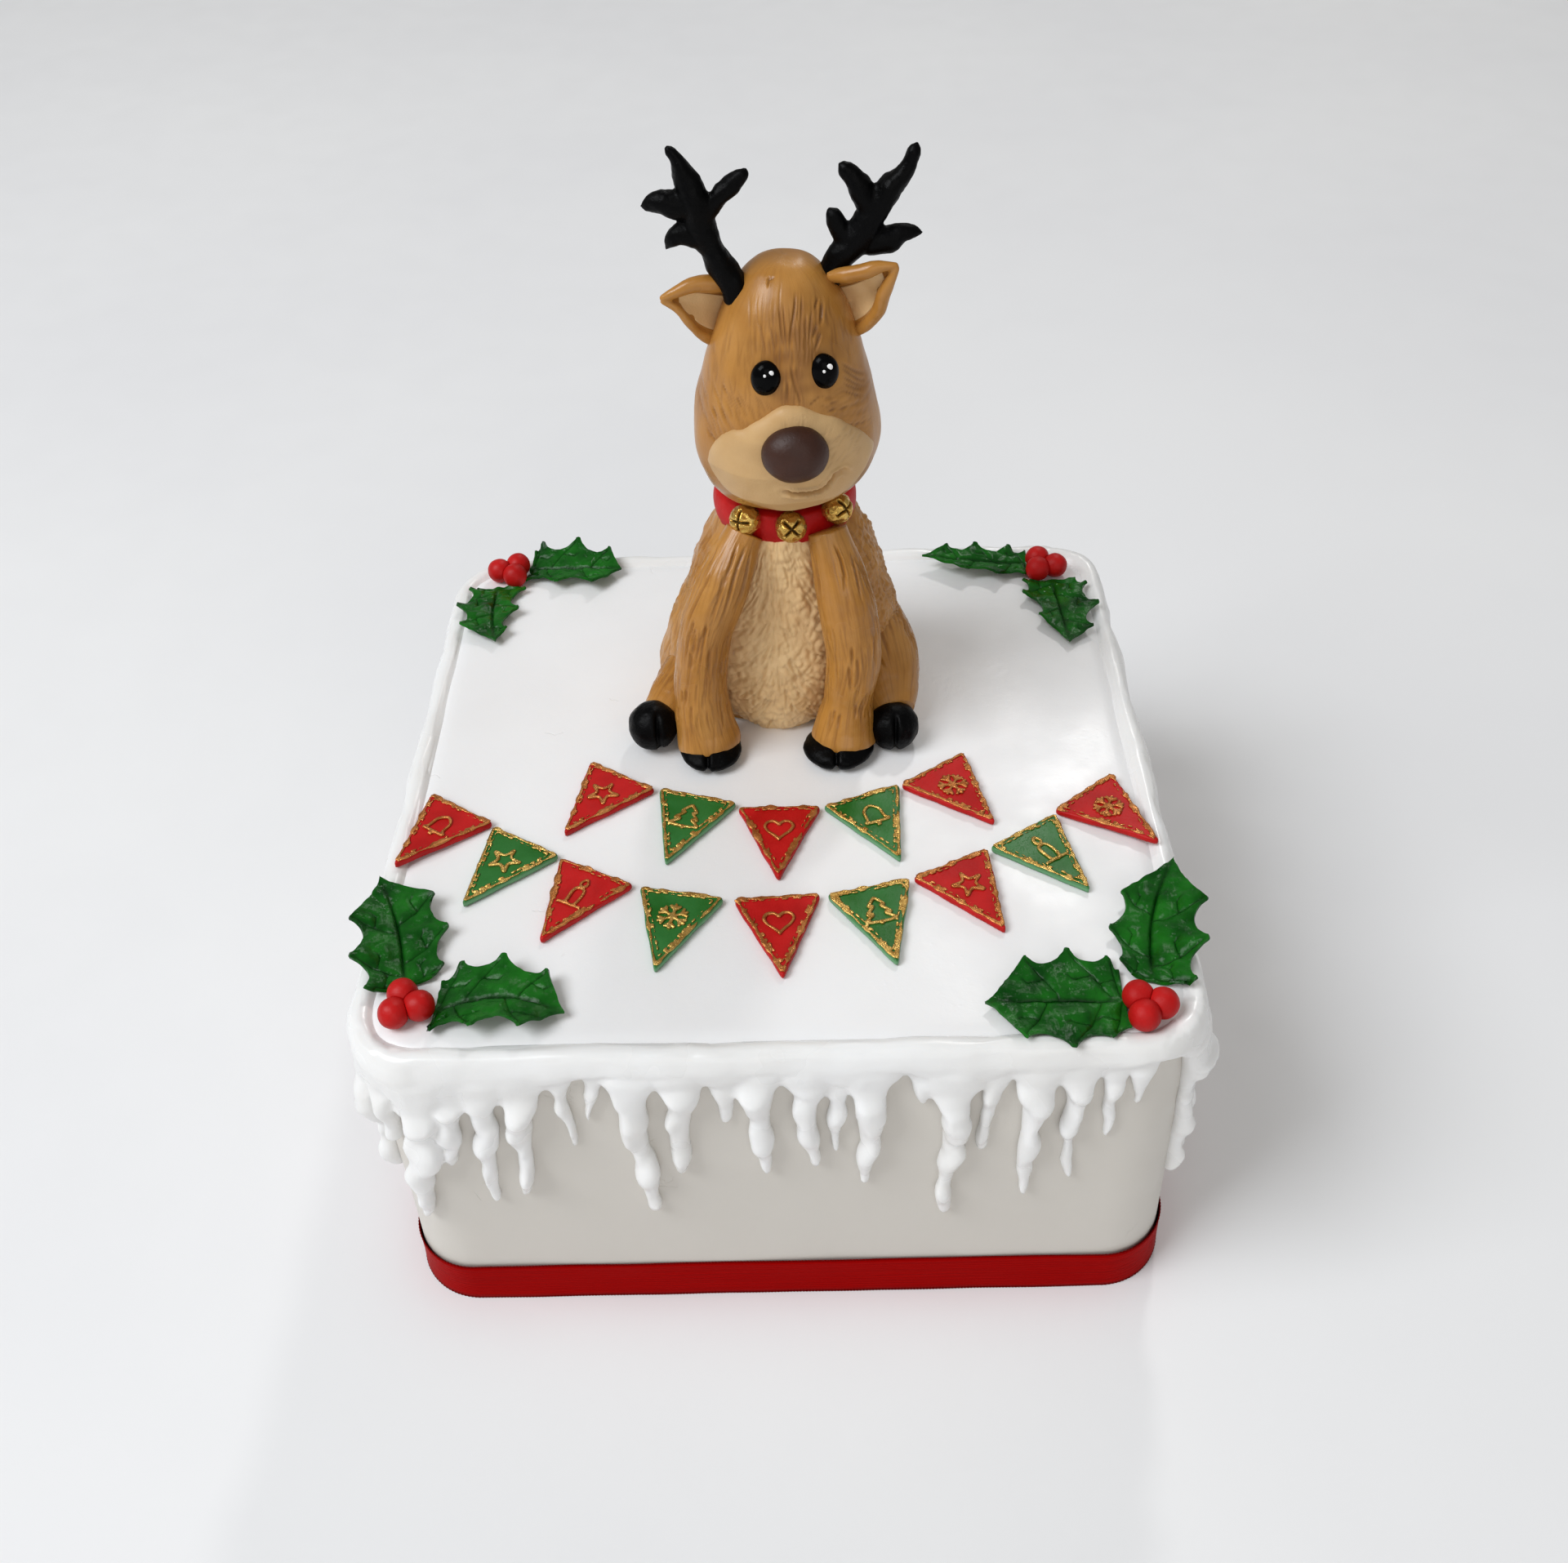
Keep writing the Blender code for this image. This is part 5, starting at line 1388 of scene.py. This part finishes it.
# A sheet of the ear's cup, up to a share of the way to its tip, between two places across from the lower
# rim at -1 to the upper one at 1, and forward by a little
def earSheet(name, side, reach, span, forward, thickness):
    upper, lower = (resample(ears[side][edge], ear["columns"] + 1) for edge in ("upper", "lower"))
    bm = bmesh.new()
    for vert, u, v in gridOn(bm, ear["columns"], ear["rows"]):
        share, across = u * reach, span[0] + (span[1] - span[0]) * v
        place = share * ear["columns"]
        index = min(int(place), ear["columns"] - 1)
        high, low = (Vector(rim[index].lerp(rim[index + 1], place - index)[:3]) for rim in (upper, lower))
        cup = ear["cup"] * (1 - abs(across) ** 2.4) * math.sqrt(max(0.0, 1 - share)) - forward
        vert.co = low.lerp(high, (across + 1) / 2) + Vector((0, cup, 0))
    piece = objectFrom(name, bm)
    reshape(piece, ("SOLIDIFY", {"thickness": thickness, "offset": 0}))
    return piece


def makeEars():
    for seed, side in enumerate(ears):
        shell = earSheet(f"ear_{side}_fur", side, 0.97, (-1.0, 1.0), 0.0, ear["thickness"])
        bm = bmesh.new()
        bm.from_mesh(shell.data)
        for rim in ears[side].values():
            rope(bm, rim, around=16)
        bm.to_mesh(shell.data)
        bm.free()
        melt(shell, ear["voxel"], rounds=5)
        sculpt(shell, rolled((5, seed, 0.3), (1.5, 3, 0.05)))
        settle(shell, "facePaste", f"ear_{side}")
        lining = earSheet(f"ear_{side}_lining", side, 0.74, ear["lining"], 1.1, 0.5)
        sculpt(lining, rolled((3, 5, 0.25)))
        settle(lining, "bellyPaste")


# Each antler is a main beam and its tines, as points (across, up) with a radius, at one depth

antlerBacks = {"left": 24.5, "right": 29.0}
antlers = {
    "left": [
        [(-4.6, 131, 3.6), (-5.8, 135.1, 3.5), (-8.9, 140.2, 3.3), (-10.6, 144.2, 3.0), (-12.2, 148.7, 3.6),
         (-13.4, 154.5, 3.7), (-14.3, 158.3, 3.4), (-15.9, 162.0, 2.7), (-17.2, 165.3, 1.8),
         (-18.6, 167.2, 1.3), (-19.2, 168.2, 0.3)],
        [(-12.6, 153.2, 2.4), (-17, 154.1, 3.5), (-20.6, 155.2, 3.0), (-23.4, 155, 2.3), (-25.4, 154.6, 1.4),
         (-26.6, 154.3, 0.2)],
        [(-11.0, 146.4, 2.2), (-14.7, 147.1, 2.9), (-17.7, 147.4, 2.6), (-20, 146, 1.9), (-21.1, 144.3, 0.9),
         (-21.4, 143.4, 0.2)],
        [(-11.2, 151.4, 2.0), (-9.7, 153.9, 2.4), (-7.4, 156.6, 2.3), (-5, 158.5, 2.3), (-3.1, 160.2, 2.0),
         (-1.8, 161.6, 1.4), (-1.2, 162.8, 0.2)],
    ],
    "right": [
        [(17.0, 132, 3.2), (18.9, 136.2, 3.2), (20.9, 139.2, 3.5), (24.3, 142.5, 3.8), (27.2, 146.9, 3.7),
         (29.5, 150.2, 3.2), (32.3, 154.9, 3.3), (35.1, 157.8, 2.4), (36.9, 160.8, 1.9), (38.2, 163.9, 1.6),
         (38.8, 165.6, 0.3)],
        [(27.8, 148.4, 2.2), (27.2, 151.2, 2.7), (25.7, 154.8, 3.0), (23.9, 157.5, 2.6), (22.1, 159.5, 2.1),
         (21.2, 160.5, 1.5), (20.4, 161.2, 0.2)],
        [(23.2, 140.8, 2.2), (21.9, 143.1, 2.6), (20.1, 146.6, 2.3), (18.9, 149, 1.9), (18.3, 150, 1.2),
         (18.0, 150.9, 0.2)],
        [(26.0, 141.2, 2.0), (29.1, 141.6, 3.2), (32.5, 142.7, 3.2), (35.3, 144.1, 2.5), (37.9, 144.2, 1.7),
         (39.7, 144, 0.8), (40.6, 143.8, 0.2)],
    ],
}


def makeAntlers():
    for side, branches in antlers.items():
        bm = bmesh.new()
        for points in branches:
            stations = [(x, antlerBacks[side], z, radius, radius) for x, z, radius in points]
            skin(bm, stations, limbs["antlerAround"], limbs["antlerAlong"], across=(0, 1, 0))
        piece = objectFrom(f"antler_{side}_paste", bm)
        melt(piece, limbs["antlerVoxel"], rounds=2)

        def thumbed(place, normal, flow):
            cut = max(0.0, 1 - abs(lumps(place, 3.2, 4)) * 6) * 0.5
            # The thumb marks are darkened a little with painted shade
            return uneven(place, (4, 3, 0.5), (1.1, 8, 0.1)) - 0.14 * cut, cut

        sculpt(piece, thumbed)
        settle(piece, "blackPaste", f"antler_{side}")


# Each hoof as (centre, half sizes, how far its cleft is to the right of the middle)
foreHooves = {"left": ((-18.8, 3.4, 2.9), (8.9, 9.4, 3.8), -0.8),
              "right": ((18.1, 3.0, 2.9), (10.1, 9.6, 3.8), -0.9)}
hindHooves = {"left": ((-35.7, 9.6, 7.1), (7.1, 7.4, 7.1), 2.0),
              "right": ((34.3, 8.0, 5.9), (7.3, 7.4, 7.0), 0.3)}


def makeHooves():
    for label, hooves in (("fore", foreHooves), ("hind", hindHooves)):
        for side, (centre, sizes, aside) in hooves.items():
            def cloven(place, normal, flow):
                line = place.x - centre[0] - aside
                front = fade(-(place.y - centre[1]) / sizes[1], 0.2, 0.7)
                cleft = math.exp(-((line / 0.75) ** 2)) * front
                low = max(0.0, 0.25 - place.z)
                # The cleft is darkened with painted shade
                return uneven(place, (3, centre[0], 0.25), (0.9, 2, 0.05)) - 1.3 * cleft - low * 0.2, cleft

            name = f"{label}_hoof_{side}"
            makeBall(f"{name}_paste", centre, sizes, cloven, "blackPaste", name, detail=6)


# The collar and its bells

collar = [(4.8, 37, 62.2, 17.6, 17.2), (4.8, 37, 63.0, 19.1, 18.7), (4.8, 37, 65.4, 19.8, 19.4),
          (4.8, 37, 68.8, 19.7, 19.3), (4.8, 37, 71.0, 18.8, 18.4), (4.8, 37, 71.7, 17.0, 16.6)]
bells = {"left": (-31, 70.0), "middle": (4.5, 69.3), "right": (43, 71.2)}
bell = {"radius": 4.2, "slotWidth": 0.34, "slotDepth": 1.1,
        "slotTurn": {"left": 5, "middle": 45, "right": 20}}


def makeCollar():
    bm = bmesh.new()
    skin(bm, collar, limbs["collarAround"], limbs["collarAlong"])

    def torn(place, normal, flow):
        low = 1 - fade(place.z, 62.2, 64.5)
        return uneven(place, (7, 2, 0.3), (1.2, 4, 0.05)) + low * lumps(place, 1.6, 9) * 0.5, 0.0

    makePiece("collarPaste", bm, torn, "redPaste", "collar")


def makeBells():
    x, y, _, wide, deep = collar[2]
    for side, (turn, up) in bells.items():
        angle = math.radians(turn)
        centre = Vector((x + (wide + 0.9) * math.sin(angle), y - (deep + 0.9) * math.cos(angle), up))
        facing = Euler((math.radians(-20), 0, angle)).to_matrix()
        cross = math.radians(bell["slotTurn"][side])

        def slotted(place, normal, flow):
            local = facing.inverted() @ (place - centre)
            a = local.x * math.cos(cross) + local.z * math.sin(cross)
            b = -local.x * math.sin(cross) + local.z * math.cos(cross)
            near = 1 - fade(math.hypot(local.x, local.z), 2.9, 3.4)
            cut = max(math.exp(-((a / bell["slotWidth"]) ** 2)), math.exp(-((b / bell["slotWidth"]) ** 2)))
            cut *= near * (1 if local.y < 0 else 0)
            crumple = 0.14 - abs(lumps(place, 1.9, turn)) * 0.55 + lumps(place, 0.7, 2) * 0.04
            # The slots are darkened with painted shade
            return crumple - bell["slotDepth"] * cut, cut

        sizes = (bell["radius"],) * 3
        makeBall(f"bell_{side}_gold", centre, sizes, slotted, "bellGold", f"bell_{side}", detail=6)


makeTorso()
makeBelly()
makeLegs()
makeHead()
makeMuzzle()
makeFace()
makeEars()
makeAntlers()
makeHooves()
makeCollar()
makeBells()
print("reindeer made")


# The stage: a pale floor, soft light and the camera

stage = {"cameraPlace": (0.0111, -0.3399, 0.4109), "yaw": -1.54, "pitch": 42.48, "roll": 2.56,
         "lens": 36.13, "middle": (0, 0, 0.1), "world": 0.31, "worldTint": (1.0, 0.99, 0.96, 1),
         "floorHalf": 3}
lights = {
    "keyLight": {"place": (-1.6, -0.75, 2.3), "size": 1.45, "power": 58.0, "tint": (0.94, 0.97, 1.0)},
    "fillLight": {"place": (0.4, -2.0, 1.1), "size": 1.6, "power": 8.0, "tint": (1.0, 0.98, 0.95)},
    "backLight": {"place": (0.5, 1.7, 1.9), "size": 0.2, "power": 8.0, "tint": (1.0, 0.99, 0.97)},
}


def makeFloor():
    bm = bmesh.new()
    bmesh.ops.create_grid(bm, x_segments=4, y_segments=4, size=stage["floorHalf"])
    floor = objectFrom("floor", bm)
    floor.data.materials.append(finishes["paleFloor"])


def makeCamera():
    yaw, pitch, roll = (math.radians(stage[key]) for key in ("yaw", "pitch", "roll"))
    ahead = Vector((math.sin(yaw) * math.cos(pitch), math.cos(yaw) * math.cos(pitch), -math.sin(pitch)))
    level = Vector((math.cos(yaw), -math.sin(yaw), 0))
    below = ahead.cross(level)
    right = math.cos(roll) * level + math.sin(roll) * below
    down = math.cos(roll) * below - math.sin(roll) * level
    data = bpy.data.cameras.new("camera")
    data.sensor_width = 36
    data.lens = stage["lens"]
    data.clip_start = 0.01
    camera = link("camera", data)
    axes = Matrix((right, -down, -ahead)).transposed().to_4x4()
    camera.matrix_world = Matrix.Translation(stage["cameraPlace"]) @ axes
    bpy.context.scene.camera = camera


def makeLights():
    for name, look in lights.items():
        data = bpy.data.lights.new(name, "AREA")
        data.size = look["size"]
        data.energy = look["power"]
        data.color = look["tint"]
        light = link(name, data)
        light.location = look["place"]
        aim = Vector(stage["middle"]) - light.location
        light.rotation_euler = aim.to_track_quat("-Z", "Y").to_euler()
    world = bpy.data.worlds.new("paleRoom")
    world.use_nodes = True
    sky = {"Color": stage["worldTint"], "Strength": stage["world"]}
    plug(world.node_tree, world.node_tree.nodes["Background"], sky)
    bpy.context.scene.world = world


makeFloor()
makeCamera()
makeLights()
bpy.context.scene.view_settings.view_transform = "Standard"

print("scene finished")
